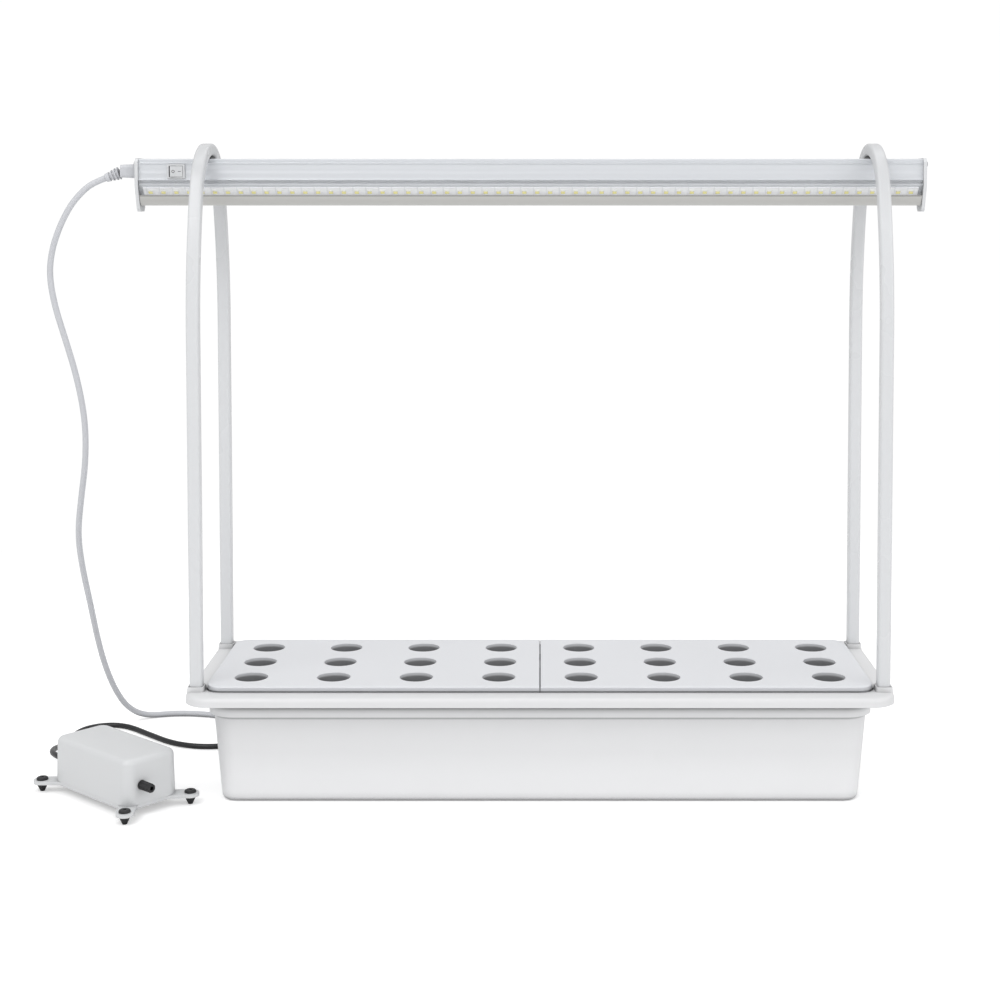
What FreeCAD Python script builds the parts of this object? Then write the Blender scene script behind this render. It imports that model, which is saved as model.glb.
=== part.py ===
"""Countertop hydroponic garden: a white tub with a split planting lid, two arches
that carry an LED bar, and an aquarium-type air pump that stands beside the tub.

Millimetres, +Z up. The origin is the middle of the tub's underside on the table,
+X runs to the right along the tub and +Y away from the front.
"""
import FreeCAD, Part
import math
import os
import re
import Sketcher

Vector = FreeCAD.Vector
os.makedirs("parts", exist_ok=True)
doc = FreeCAD.newDocument("HydroponicGarden")

SIZES = {
    # tub: outside of the walls just below the skirt, then rim and skirt round it
    "tub_length": 487.0,
    "tub_width": 137.0,
    "tub_height": 84.3,
    "tub_draft": 5.0,
    "tub_corner": 18.0,
    "tub_wall": 2.4,
    "tub_floor": 2.6,
    "tub_foot_round": 4.0,
    "skirt_step": 3.5,
    "skirt_height": 13.0,
    "rim_overhang": 14.5,
    "rim_lip": 6.8,
    "rim_plate": 3.0,
    "rim_corner": 20.0,
    "rim_round": 3.4,
    "ledge_depth": 1.6,
    # lid halves and their planting holes
    "lid_lap": 3.5,
    "lid_lap_side": 1.5,
    "lid_length": "=tub_length + 2*lid_lap",
    "lid_width": "=tub_width + 2*lid_lap_side",
    "lid_corner": 12.0,
    "lid_thick": 5.9,
    "lid_plate": 2.4,
    "lid_wall": 2.0,
    "lid_step": 0.8,
    "lid_step_height": 2.6,
    "lid_joint": 0.6,
    "lid_gap": 1.0,
    "lid_edge_round": 1.0,
    "pot_hole": 25.0,
    "pot_collar_wall": 1.6,
    "pot_collar_drop": 6.0,
    "pot_end_margin": 30.0,
    "pot_side_margin": 26.6,
    "pot_pitch_long": "=(lid_length/2 - pot_end_margin)/3.5",
    "pot_pitch_cross": "=lid_width/2 - pot_side_margin",
    # arches
    "leg_outset": 10.7,
    "arch_spacing": "=tub_length + 2*leg_outset",
    "arch_legs": 126.0,
    "arch_top": 489.9,
    "arch_width": 9.5,
    "arch_depth": 9.6,
    "arch_crown_radius": 53.0,
    "arch_straight": 351.0,
    "arch_round": 2.0,
    "socket_depth": 5.0,
    "socket_gap": 0.15,
    "collar_height": 3.5,
    "collar_wall": 1.3,
    "collar_draft": 6.0,
    "boss_length": 16.0,
    # fastener sizes
    "screw_shank": 3.0,
    "screw_head": 6.4,
    "screw_head_height": 2.2,
    "screw_length": 14.0,
    "screw_gap": 0.2,
    # lamp housing section, measured down from its flat top
    "lamp_beyond": 45.8,
    "lamp_length": "=arch_spacing + 2*lamp_beyond",
    "lamp_shift": -7.0,
    "lamp_top_half": 12.2,
    "lamp_ridge_half": 13.4,
    "lamp_side_half": 12.7,
    "lamp_hook_half": 11.3,
    "lamp_lip": 2.8,
    "lamp_ridge": 1.1,
    "lamp_side": 11.5,
    "lamp_hook_slot": 2.0,
    "lamp_nose": 1.8,
    "lamp_wall": 1.5,
    "lamp_tip_half": 4.0,
    "lamp_hollow_bend": 0.35,
    "port_bore": 2.6,
    "port_wall": 1.3,
    # clear cover and boards
    "cover_wall": 1.0,
    "cover_half": 14.2,
    "cover_depth": 35.4,
    "cover_toe": 7.0,
    "cover_gap": 0.15,
    "board_width": 8.6,
    "board_thick": 1.0,
    "chip_count": 60,
    "chip_margin": 6.0,
    "chip_pitch": "=(lamp_length - 2*chip_margin)/chip_count",
    "chip_length": 3.5,
    "chip_width": 2.8,
    "chip_height": 0.8,
    # end caps
    "cap_thick": 2.5,
    "cap_margin": 1.3,
    "cap_drop": 4.6,
    "cap_plug": 4.0,
    "cap_plug_gap": 0.2,
    "cap_screw_head": 4.8,
    "cap_screw_height": 1.5,
    "cap_screw_length": 12.0,
    # rocker switch on the front wall
    "switch_inset": 31.1,
    "switch_x": "=lamp_shift - lamp_length/2 + switch_inset",
    "switch_bezel_length": 13.7,
    "switch_bezel_height": 11.0,
    "switch_bezel_proud": 1.2,
    "switch_body_length": 12.0,
    "switch_body_height": 9.6,
    "switch_body_depth": 12.0,
    "switch_gap": 0.15,
    "rocker_length": 9.4,
    "rocker_height": 8.0,
    "rocker_window_length": 10.6,
    "rocker_window_height": 8.4,
    "rocker_proud": 1.0,
    "rocker_pivot_depth": 3.2,
    "rocker_pin": 1.8,
    "rocker_tilt": 7.0,
    # clips between arch and lamp
    "spacer_thick": 2.3,
    "spacer_length": 20.0,
    "spacer_width": 8.4,
    # driver inside the housing
    "driver_length": 150.0,
    "driver_thick": 1.6,
    "driver_inset": 104.2,
    "driver_x": "=driver_inset - arch_spacing/2",
    # lamp connector and its inlet
    "inlet_length": 12.0,
    "inlet_width": 12.4,
    "inlet_height": 10.0,
    "inlet_recess": 7.0,
    "inlet_wall": 1.4,
    "plug_drop": 9.2,
    "connector_length": 13.0,
    "connector_width": 14.0,
    "connector_height": 11.0,
    "relief_length": 13.0,
    "relief_droop": 20.0,
    "relief_diameter": 10.0,
    # air pump
    "pump_x": -318.0,
    "pump_y": -52.0,
    "pump_turn": -42.0,
    "pump_length": 96.0,
    "pump_width": 47.0,
    "pump_height": 42.0,
    "pump_corner": 9.0,
    "pump_top_round": 4.5,
    "pump_draft": 1.5,
    "pump_wall": 2.0,
    "pump_base_level": 6.0,
    "pump_base_thick": 2.6,
    "pump_ear_reach": 5.3,
    "pump_ear_radius": 6.5,
    "pump_ear_blend": 7.0,
    "foot_head": 8.6,
    "foot_head_height": 2.0,
    "foot_stem": 4.0,
    "foot_cone": 7.4,
    "foot_tip": 3.4,
    "foot_gap": 0.1,
    "nozzle_y": -10.0,
    "nozzle_z": 22.5,
    "nozzle_diameter": 6.6,
    "nozzle_bore": 3.0,
    "nozzle_reach": 12.0,
    "nozzle_flute": 1.2,
    "nozzle_gap": 0.2,
    "post_diameter": 6.0,
    "post_inset": 6.5,
    "pump_screw_shank": 2.6,
    "pump_screw_head": 5.0,
    # pump drive: iron core, winding, swing arm, bellows and valve block
    "core_length": 27.0,
    "core_leg": 5.0,
    "core_middle_leg": 6.0,
    "core_window": 4.4,
    "core_height": 16.0,
    "core_back": 6.0,
    "core_y": -7.5,
    "pole_x": -9.0,
    "drive_z": 22.5,
    "winding_gap": 0.3,
    "pole_gap": 2.0,
    "magnet_thick": 4.0,
    "magnet_width": 9.0,
    "magnet_height": 14.0,
    "arm_thick": 2.0,
    "arm_height": 9.0,
    "arm_pin_y": 16.0,
    "arm_pin": 2.5,
    "arm_eye": 6.0,
    "arm_pin_gap": 0.15,
    "bellows_diameter": 19.0,
    "bellows_length": 12.0,
    "bellows_wall": 1.2,
    "valve_length": 20.0,
    "valve_width": 26.0,
    "valve_height": 24.0,
    "gland_length": 20.0,
    "gland_z": 14.0,
    "gland_large": 8.4,
    # cords, their coils and plugs
    "lamp_cord": 4.8,
    "lamp_coil_x": -185.0,
    "lamp_coil_y": 150.0,
    "lamp_coil_outer": 32.2,
    "lamp_coil_pitch": 6.0,
    "lamp_coil_rise": 5.4,
    "pump_cord": 4.4,
    "pump_coil_x": -45.0,
    "pump_coil_y": 121.5,
    "pump_coil_outer": 31.5,
    "pump_coil_pitch": 5.5,
    "pump_coil_rise": 5.0,
    "lamp_cord_straight": 11.0,
    "lamp_cord_run_in": 24.0,
    "pump_cord_straight": 17.0,
    "pump_cord_run_in": 34.0,
    "coil_turns_in": 4,
    "coil_turns_out": 5,
    "coil_squeeze": 0.9,
    "coil_tail": 12.0,
    "plug_length": 30.0,
    "plug_shoulder": 10.0,
    "plug_shoulder_round": 14.0,
    "plug_edge_round": 1.4,
    "plug_neck": 2.0,
    "plug_bush": 0.6,
    "plug_width": 24.0,
    "plug_relief": 22.0,
    "plug_relief_large": 10.0,
    "blade_length": 17.0,
    "blade_height": 6.3,
    "blade_thick": 1.5,
    "blade_spacing": 12.7,
    "blade_root": 4.0,
}

sizes = doc.addObject("Spreadsheet::Sheet", "Sizes")
for row, (alias, number) in enumerate(SIZES.items(), start=1):
    sizes.set("A%d" % row, alias)
    sizes.set("B%d" % row, str(number))
    sizes.setAlias("B%d" % row, alias)
doc.recompute()

SIZE_NAME = re.compile(r"\b[a-z]+(?:_[a-z]+)+\b")
pieces = []


def bound(expression):
    """The expression as the document reads it, with each size found in the sheet."""
    return SIZE_NAME.sub(lambda found: "Sizes." + found.group(0), str(expression))


def mm(expression):
    """The number that an expression of sizes stands for."""
    return float(sizes.evalExpression(bound(expression)))


def tie(thing, name, expression):
    """Bind one property of a document object to an expression of sizes."""
    thing.setExpression(name, bound(expression))


# Sketches


def new_sketch(body, role, offset="0"):
    """A sketch on one of its body's own planes, moved along the plane's normal."""
    flat = next(f for f in body.Origin.OriginFeatures if f.Role == role)
    sketch = body.newObject("Sketcher::SketchObject", "Sketch")
    sketch.AttachmentSupport = [(flat, "")]
    sketch.MapMode = "FlatFace"
    tie(sketch, "AttachmentOffset.Base.z", offset)
    return sketch


def rule(sketch, constraint, expression):
    number = sketch.addConstraint(constraint)
    tie(sketch, "Constraints[%d]" % number, expression)


def pin(sketch, piece, end, x, y):
    """Hold one end of a sketch line, arc or circle at x and y."""
    rule(sketch, Sketcher.Constraint("DistanceX", -1, 1, piece, end, mm(x)), x)
    rule(sketch, Sketcher.Constraint("DistanceY", -1, 1, piece, end, mm(y)), y)


def arc_between(begin, finish, radius, turn):
    """The short arc between two points, anticlockwise where turn is 1."""
    chord = finish - begin
    across = Vector(-chord.y, chord.x, 0).normalize()
    rise = math.sqrt(max(radius ** 2 - chord.Length ** 2 / 4, 0))
    centre = (begin + finish) / 2 + across * rise * turn
    first, last = (begin, finish) if turn > 0 else (finish, begin)
    start_angle = math.atan2(first.y - centre.y, first.x - centre.x)
    end_angle = math.atan2(last.y - centre.y, last.x - centre.x)
    circle = Part.Circle(centre, Vector(0, 0, 1), radius)
    return Part.ArcOfCircle(circle, start_angle, end_angle)


def outline(sketch, corners):
    """A closed outline. A corner (x, y) is reached by a line, and a corner
    (x, y, radius, turn) by an arc, anticlockwise where turn is 1."""
    spots = [Vector(mm(corner[0]), mm(corner[1]), 0) for corner in corners]
    ends = []
    for number, corner in enumerate(corners):
        begin, finish = spots[number - 1], spots[number]
        if len(corner) == 2:
            piece = sketch.addGeometry(Part.LineSegment(begin, finish))
            ends.append((piece, 1, 2))
        else:
            arc = arc_between(begin, finish, mm(corner[2]), corner[3])
            piece = sketch.addGeometry(arc)
            ends.append((piece, 1, 2) if corner[3] > 0 else (piece, 2, 1))
    for number, corner in enumerate(corners):
        piece, begin_end, finish_end = ends[number]
        before, _, before_end = ends[number - 1]
        sketch.addConstraint(Sketcher.Constraint("Coincident", before, before_end, piece, begin_end))
    for number, corner in enumerate(corners):
        piece, begin_end, finish_end = ends[number]
        pin(sketch, piece, finish_end, corner[0], corner[1])
        if len(corner) > 2:
            rule(sketch, Sketcher.Constraint("Radius", piece, mm(corner[2])), corner[2])


def rounded(sketch, length, width, radius, x="0", y="0"):
    """A rectangle with round corners about x and y."""
    far, near = "(%s) + (%s)/2" % (x, length), "(%s) - (%s)/2" % (x, length)
    top, low = "(%s) + (%s)/2" % (y, width), "(%s) - (%s)/2" % (y, width)
    outline(sketch, [
        ("%s + %s" % (near, radius), low),
        ("%s - %s" % (far, radius), low),
        (far, "%s + %s" % (low, radius), radius, 1),
        (far, "%s - %s" % (top, radius)),
        ("%s - %s" % (far, radius), top, radius, 1),
        ("%s + %s" % (near, radius), top),
        (near, "%s - %s" % (top, radius), radius, 1),
        (near, "%s + %s" % (low, radius)),
        ("%s + %s" % (near, radius), low, radius, 1),
    ][1:])


def rectangle(sketch, length, width, x="0", y="0"):
    far, near = "(%s) + (%s)/2" % (x, length), "(%s) - (%s)/2" % (x, length)
    top, low = "(%s) + (%s)/2" % (y, width), "(%s) - (%s)/2" % (y, width)
    outline(sketch, [(near, low), (far, low), (far, top), (near, top)])


def circle(sketch, diameter, x="0", y="0"):
    spot = Vector(mm(x), mm(y), 0)
    piece = sketch.addGeometry(Part.Circle(spot, Vector(0, 0, 1), mm(diameter) / 2))
    pin(sketch, piece, 3, x, y)
    rule(sketch, Sketcher.Constraint("Diameter", piece, mm(diameter)), diameter)


def both_sides(half):
    """A section that is the same on both sides of its upright middle line, from
    the corners of its right half, listed from the top down."""
    mirrored = []
    for number in range(len(half) - 1, -1, -1):
        x, y = half[number][:2]
        after = half[number + 1] if number + 1 < len(half) else ()
        mirrored.append(("-(%s)" % x, y) + tuple(after[2:]))
    return half + mirrored


# Features


def new_body(label, apart=False):
    body = doc.addObject("PartDesign::Body", label)
    body.Label = label
    body.AllowCompound = apart
    pieces.append(body)
    return body


def stand(thing, x="0", y="0", z="0", turn="0", about=(0, 0, 1)):
    """Place a piece: turned about an axis through its own origin, then moved."""
    axis = "create(<<vector>>; %g; %g; %g)" % about
    spin = "create(<<rotation>>; %s; %s)" % (axis, turn)
    spot = "create(<<vector>>; %s; %s; %s)" % (x, y, z)
    tie(thing, "Placement", "create(<<placement>>; %s; %s)" % (spot, spin))


def on_pump(thing, x="0", y="0", z="0"):
    """Place a piece of the pump, given where it lies in the pump's own directions."""
    east = "pump_x + (%s)*cos(pump_turn) - (%s)*sin(pump_turn)" % (x, y)
    north = "pump_y + (%s)*sin(pump_turn) + (%s)*cos(pump_turn)" % (x, y)
    stand(thing, east, north, z, "pump_turn")


def extrude(body, sketch, length, grows=True, draft=None, middle=False, back=False):
    """Pad or pocket a sketch, and stop if it left the body's volume as it was."""
    before = body.Shape.Volume if body.Tip else 0
    feature = body.newObject("PartDesign::Pad" if grows else "PartDesign::Pocket", "Extrude")
    feature.Profile = sketch
    tie(feature, "Length", length)
    if draft:
        tie(feature, "TaperAngle", draft)
    feature.SideType = "Symmetric" if middle else "One side"
    feature.Reversed = back
    return finished(body, feature, before, grows)


def finished(body, feature, before, grows):
    body.Tip = feature
    doc.recompute()
    change = body.Shape.Volume - before
    if change * (1 if grows else -1) < 1e-6:
        raise RuntimeError("%s: %s changes the volume by %.3f" % (body.Label, feature.Name, change))
    return feature


def revolve(body, sketch, axis="V_Axis", grows=True):
    before = body.Shape.Volume if body.Tip else 0
    kind = "PartDesign::Revolution" if grows else "PartDesign::Groove"
    feature = body.newObject(kind, "Turned")
    feature.Profile = sketch
    feature.ReferenceAxis = (sketch, [axis])
    feature.Angle = 360
    return finished(body, feature, before, grows)


def blend(body, radius, chosen, kind="Fillet"):
    """Fillet or chamfer the edges of the body so far that the test chooses."""
    base = body.Tip
    names = ["Edge%d" % (number + 1) for number, edge in enumerate(base.Shape.Edges) if chosen(edge)]
    feature = body.newObject("PartDesign::" + kind, kind)
    feature.Base = (base, names)
    tie(feature, "Radius" if kind == "Fillet" else "Size", radius)
    body.Tip = feature
    doc.recompute()
    if "Invalid" in feature.State or not names:
        raise RuntimeError("%s: %s of %d edges fails" % (body.Label, kind, len(names)))


def repeat(body, feature, first, second=None):
    """Repeat a feature in rows: each row is (axis role, whole length, how many)."""
    before = body.Shape.Volume
    pattern = body.newObject("PartDesign::LinearPattern", "Rows")
    pattern.Originals = [feature]
    role, length, count = first
    pattern.Direction = (origin_feature(body, role), [""])
    tie(pattern, "Length", length)
    tie(pattern, "Occurrences", count)
    if second:
        role, length, count = second
        pattern.Direction2 = (origin_feature(body, role), [""])
        tie(pattern, "Length2", length)
        tie(pattern, "Occurrences2", count)
    return finished(body, pattern, before, feature.TypeId in GROWING)


def repeat_all(body, features, role, length, count):
    """Repeat several features together in one row."""
    pattern = body.newObject("PartDesign::LinearPattern", "Row")
    pattern.Originals = list(features)
    pattern.Direction = (origin_feature(body, role), [""])
    tie(pattern, "Length", length)
    tie(pattern, "Occurrences", count)
    return finished(body, pattern, body.Shape.Volume, True)


GROWING = ("PartDesign::Pad", "PartDesign::Revolution", "PartDesign::AdditiveLoft")


def origin_feature(body, role):
    return next(f for f in body.Origin.OriginFeatures if f.Role == role)


def at_level(height):
    """Chooses edges that lie flat at a height."""
    level = mm(height)

    def test(edge):
        box = edge.BoundBox
        return abs(box.ZMin - level) < 0.01 and abs(box.ZMax - level) < 0.01
    return test


def along(axis, test=lambda middle: True):
    """Chooses straight edges along one axis whose middle passes a test."""
    def chosen(edge):
        if edge.Curve.TypeId != "Part::GeomLine":
            return False
        box = edge.BoundBox
        spans = {"X": box.XLength, "Y": box.YLength, "Z": box.ZLength}
        others = [spans[name] for name in spans if name != axis]
        return spans[axis] > 0.01 and max(others) < 0.01 and test(box.Center)
    return chosen


# Heights and places that several pieces share

SKIRT_BOTTOM = "(tub_height - rim_lip - skirt_height + 1.5)"
RIM_LENGTH = "(tub_length + 2*skirt_step + 2*rim_overhang)"
RIM_WIDTH = "(tub_width + 2*skirt_step + 2*rim_overhang)"
LEDGE = "(tub_height - ledge_depth)"
LID_TOP = "(tub_height - ledge_depth + lid_thick)"
GUTTER_TOP = "(tub_height - rim_plate - ledge_depth + 1.2)"
LEG_FOOT = "(tub_height - socket_depth + 0.2)"
LAMP_TOP = "(arch_top - arch_depth - spacer_thick)"


# Tub: drafted walls, a skirt band, and a rim that is hollow underneath


def make_tub():
    tub = new_body("reservoir_tub")
    walls = new_sketch(tub, "XY_Plane", SKIRT_BOTTOM)
    rounded(walls, "tub_length", "tub_width", "tub_corner")
    extrude(tub, walls, SKIRT_BOTTOM, draft="-tub_draft", back=True)
    blend(tub, "tub_foot_round", at_level("0"))

    skirt = new_sketch(tub, "XY_Plane", SKIRT_BOTTOM)
    rounded(skirt, "tub_length + 2*skirt_step", "tub_width + 2*skirt_step", "(tub_corner + skirt_step)")
    extrude(tub, skirt, "tub_height - " + SKIRT_BOTTOM)

    rim = new_sketch(tub, "XY_Plane", "tub_height - rim_lip")
    rounded(rim, RIM_LENGTH, RIM_WIDTH, "rim_corner")
    extrude(tub, rim, "rim_lip")
    blend(tub, "rim_round", at_level("tub_height"))

    hollow = new_sketch(tub, "XY_Plane", SKIRT_BOTTOM)
    rounded(hollow, "tub_length - 2*tub_wall", "tub_width - 2*tub_wall", "(tub_corner - tub_wall)")
    extrude(tub, hollow, SKIRT_BOTTOM + " - tub_floor", grows=False, draft="-tub_draft")
    mouth = new_sketch(tub, "XY_Plane", SKIRT_BOTTOM)
    rounded(mouth, "tub_length - 2*tub_wall", "tub_width - 2*tub_wall", "(tub_corner - tub_wall)")
    extrude(tub, mouth, "tub_height", grows=False, back=True)

    ledge = new_sketch(tub, "XY_Plane", LEDGE)
    rounded(ledge, "lid_length + lid_gap", "lid_width + lid_gap", "lid_corner")
    extrude(tub, ledge, "tub_height", grows=False, back=True)

    gutter = new_sketch(tub, "XY_Plane", "tub_height - rim_lip")
    rounded(gutter, RIM_LENGTH + " - 2*rim_plate", RIM_WIDTH + " - 2*rim_plate", "(rim_corner - rim_plate)")
    rounded(gutter, "tub_length + 2*skirt_step", "tub_width + 2*skirt_step", "(tub_corner + skirt_step)")
    extrude(tub, gutter, GUTTER_TOP + " - tub_height + rim_lip", grows=False, back=True)

    boss = new_sketch(tub, "XY_Plane", "tub_height - rim_lip")
    collar = new_sketch(tub, "XY_Plane", GUTTER_TOP)
    socket = new_sketch(tub, "XY_Plane", LEG_FOOT)
    bore = new_sketch(tub, "XY_Plane", "0")
    for x, y in LEG_PLACES:
        rectangle(boss, "rim_overhang - rim_plate + 1", "boss_length", x, y)
        rectangle(socket, "arch_width + 2*socket_gap", "arch_depth + 2*socket_gap", x, y)
        rounded(collar, COLLAR_LENGTH, COLLAR_WIDTH, "arch_round", x, y)
        circle(bore, "screw_shank + 2*screw_gap", x, y)
    extrude(tub, boss, GUTTER_TOP + " - tub_height + rim_lip")
    extrude(tub, collar, "tub_height + collar_height - " + GUTTER_TOP, draft="-collar_draft")
    extrude(tub, socket, "tub_height", grows=False, back=True)
    extrude(tub, bore, "tub_height", grows=False, back=True)


LEG_PLACES = [("%sarch_spacing/2" % a, "%sarch_legs/2" % b) for a in ("-", "") for b in ("-", "")]
COLLAR_LENGTH = "(arch_width + 2*collar_wall + 2*(collar_height + rim_plate)*tan(collar_draft))"
COLLAR_WIDTH = "(arch_depth + 2*collar_wall + 2*(collar_height + rim_plate)*tan(collar_draft))"


# Lid halves: a shallow tray upside down, with a short collar under each hole


def make_lid(label, turn):
    lid = new_body(label)
    stand(lid, turn=turn)
    upper = new_sketch(lid, "XY_Plane", LEDGE + " + lid_step_height")
    half_lid(upper, "0")
    extrude(lid, upper, "lid_thick - lid_step_height")
    blend(lid, "lid_edge_round", at_level(LID_TOP))
    lower = new_sketch(lid, "XY_Plane", LEDGE)
    half_lid(lower, "lid_step")
    extrude(lid, lower, "lid_step_height")
    inside = new_sketch(lid, "XY_Plane", LEDGE)
    half_lid(inside, "(lid_step + lid_wall)", "lid_wall")
    extrude(lid, inside, "lid_thick - lid_plate", grows=False, back=True)

    first_x, first_y = "pot_pitch_long/2", "-pot_pitch_cross"
    collar = new_sketch(lid, "XY_Plane", LEDGE + " - pot_collar_drop")
    circle(collar, "pot_hole + 2*pot_collar_wall", first_x, first_y)
    tube = extrude(lid, collar, "pot_collar_drop + lid_thick - lid_plate/2")
    repeat(lid, tube, ("X_Axis", "3*pot_pitch_long", 4), ("Y_Axis", "2*pot_pitch_cross", 3))
    hole = new_sketch(lid, "XY_Plane", LEDGE + " - pot_collar_drop")
    circle(hole, "pot_hole", first_x, first_y)
    bore = extrude(lid, hole, "pot_collar_drop + 2*lid_thick", grows=False, back=True)
    repeat(lid, bore, ("X_Axis", "3*pot_pitch_long", 4), ("Y_Axis", "2*pot_pitch_cross", 3))


def half_lid(sketch, inset, joint_inset="0"):
    """One half of the lid, drawn in from its outer edge by inset."""
    near = "lid_joint/2 + %s" % joint_inset
    far = "lid_length/2 - %s" % inset
    side = "lid_width/2 - %s" % inset
    bend = "(lid_corner - %s)" % inset
    outline(sketch, [
        (near, "-(%s)" % side),
        ("%s - %s" % (far, bend), "-(%s)" % side),
        (far, "-(%s) + %s" % (side, bend), bend, 1),
        (far, "%s - %s" % (side, bend)),
        ("%s - %s" % (far, bend), side, bend, 1),
        (near, side),
    ])


# Arches: a flat bar bent to a tight crown and long, slowly straightening legs


def bend_corners(half_spread, crown_radius, top):
    """Outer or inner edge of an arch from its right foot over the crown to the left:
    the crown arc meets each leg's wide arc where both point the same way."""
    lean = "((%s) - (%s))/((%s) - (%s) - arch_straight)" % (half_spread, crown_radius, top, crown_radius)
    swing = "(90deg - 2*atan(%s))" % lean
    wide = "((%s) + ((%s) - (%s) - arch_straight)/cos(%s))" % (crown_radius, top, crown_radius, swing)
    meet_x = "(%s)*sin(%s)" % (crown_radius, swing)
    meet_z = "(%s) - (%s)*(1 - cos(%s))" % (top, crown_radius, swing)
    return wide, meet_x, meet_z


def make_arch(label, x):
    arch = new_body(label)
    stand(arch, x=x)
    section = new_sketch(arch, "YZ_Plane", "0")
    outer = "(arch_legs/2 + arch_depth/2)"
    inner = "(arch_legs/2 - arch_depth/2)"
    crown = "arch_crown_radius"
    wide, meet_x, meet_z = bend_corners(outer, crown, "arch_top")
    inner_wide = "(%s + arch_depth)" % wide
    inner_crown = "(%s - arch_depth)" % crown
    _, turn_x, turn_z = bend_corners(inner, inner_crown, "(arch_top - arch_depth)")
    outline(section, [
        (outer, LEG_FOOT),
        (outer, "arch_straight"),
        (meet_x, meet_z, wide, 1),
        ("-(%s)" % meet_x, meet_z, crown, 1),
        ("-(%s)" % outer, "arch_straight", wide, 1),
        ("-(%s)" % outer, LEG_FOOT),
        ("-(%s)" % inner, LEG_FOOT),
        ("-(%s)" % inner, "arch_straight"),
        ("-(%s)" % turn_x, turn_z, inner_wide, -1),
        (turn_x, turn_z, inner_crown, -1),
        (inner, "arch_straight", inner_wide, -1),
        (inner, LEG_FOOT),
    ])
    extrude(arch, section, "arch_width", middle=True)
    foot = mm(LEG_FOOT)
    blend(arch, "arch_round", lambda edge: edge.BoundBox.XLength < 0.01 and edge.BoundBox.ZMax > foot + 1)
    for side in ("-", ""):
        bore = new_sketch(arch, "XY_Plane", LEG_FOOT)
        circle(bore, "screw_shank", y="%sarch_legs/2" % side)
        extrude(arch, bore, "screw_length", grows=False, back=True)
    hole = new_sketch(arch, "XY_Plane", "arch_top - arch_depth - 1")
    circle(hole, "screw_shank + 2*screw_gap")
    extrude(arch, hole, "arch_depth + 2", grows=False, back=True)
    sink = new_sketch(arch, "XY_Plane", "arch_top - screw_head_height")
    circle(sink, "screw_head + 2*screw_gap")
    extrude(arch, sink, "2*screw_head_height", grows=False, back=True)


# Screws


def screw_profile(sketch, head, head_height, shank, length):
    """Half of a pan-head screw: the head above the sketch's origin, shank below."""
    outline(sketch, [
        ("0", "-(%s)" % length),
        ("(%s)/2 - 0.6" % shank, "-(%s)" % length),
        ("(%s)/2" % shank, "-(%s) + 1" % length),
        ("(%s)/2" % shank, "0"),
        ("(%s)/2" % head, "0"),
        ("(%s)/2" % head, "0.5*(%s)" % head_height),
        ("0.35*(%s)" % head, head_height),
        ("0", head_height),
    ])


def make_leg_screws():
    screws = new_body("leg_screws", apart=True)
    stand(screws, "-arch_spacing/2", "-arch_legs/2", "tub_height - rim_lip", "180", (0, 1, 0))
    profile = new_sketch(screws, "XZ_Plane")
    screw_profile(profile, "screw_head", "screw_head_height", "screw_shank - 0.1", "screw_length")
    first = revolve(screws, profile)
    repeat(screws, first, ("X_Axis", "arch_spacing", 2), ("Y_Axis", "arch_legs", 2))
    screws.Tip.Reversed = True
    doc.recompute()


def make_lamp_screws():
    screws = new_body("lamp_screws", apart=True)
    stand(screws, "-arch_spacing/2", "0", "arch_top - screw_head_height")
    profile = new_sketch(screws, "XZ_Plane")
    reach = "arch_depth - screw_head_height + spacer_thick + 4"
    screw_profile(profile, "screw_head", "screw_head_height - 0.3", "screw_shank", reach)
    first = revolve(screws, profile)
    repeat(screws, first, ("X_Axis", "arch_spacing", 2))


def make_spacers():
    spacers = new_body("lamp_spacers", apart=True)
    stand(spacers, "-arch_spacing/2", "0", LAMP_TOP)
    saddle = new_sketch(spacers, "YZ_Plane")
    half, under = "spacer_length/2", "(arch_crown_radius - arch_depth)"
    edge = "spacer_thick - 0.05 - %s + sqrt(%s^2 - spacer_length^2/4)" % (under, under)
    outline(saddle, [("-" + half, "0"), (half, "0"), (half, edge), ("-" + half, edge, under, 1)])
    first = extrude(spacers, saddle, "spacer_width", middle=True)
    hole = new_sketch(spacers, "XY_Plane")
    circle(hole, "screw_shank + 2*screw_gap")
    second = extrude(spacers, hole, "spacer_thick", grows=False, back=True)
    repeat_all(spacers, (first, second), "X_Axis", "arch_spacing", 2)


# Lamp bar: an extruded housing with two boards set like a roof, under a clear cover

SIDE_TOP = "(lamp_lip + lamp_ridge)"
SIDE_END = "(lamp_lip + lamp_ridge + lamp_side)"
SLOT_TOP = "(lamp_lip + 2*lamp_ridge + lamp_side)"
SLOT_END = "(lamp_lip + 2*lamp_ridge + lamp_side + lamp_hook_slot)"
SEAT_TOP = "(lamp_lip + 2*lamp_ridge + lamp_side + lamp_hook_slot + lamp_nose)"
SEAT_DROP = "(lamp_top_half - lamp_tip_half)"
HOUSING_LENGTH = "(lamp_length - 2*cap_thick)"
PORT_Y = "(lamp_side_half - lamp_wall - port_bore/2 - port_wall/2)"
PORT_DROP = "(lamp_wall + port_bore/2 + port_wall)"


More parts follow.
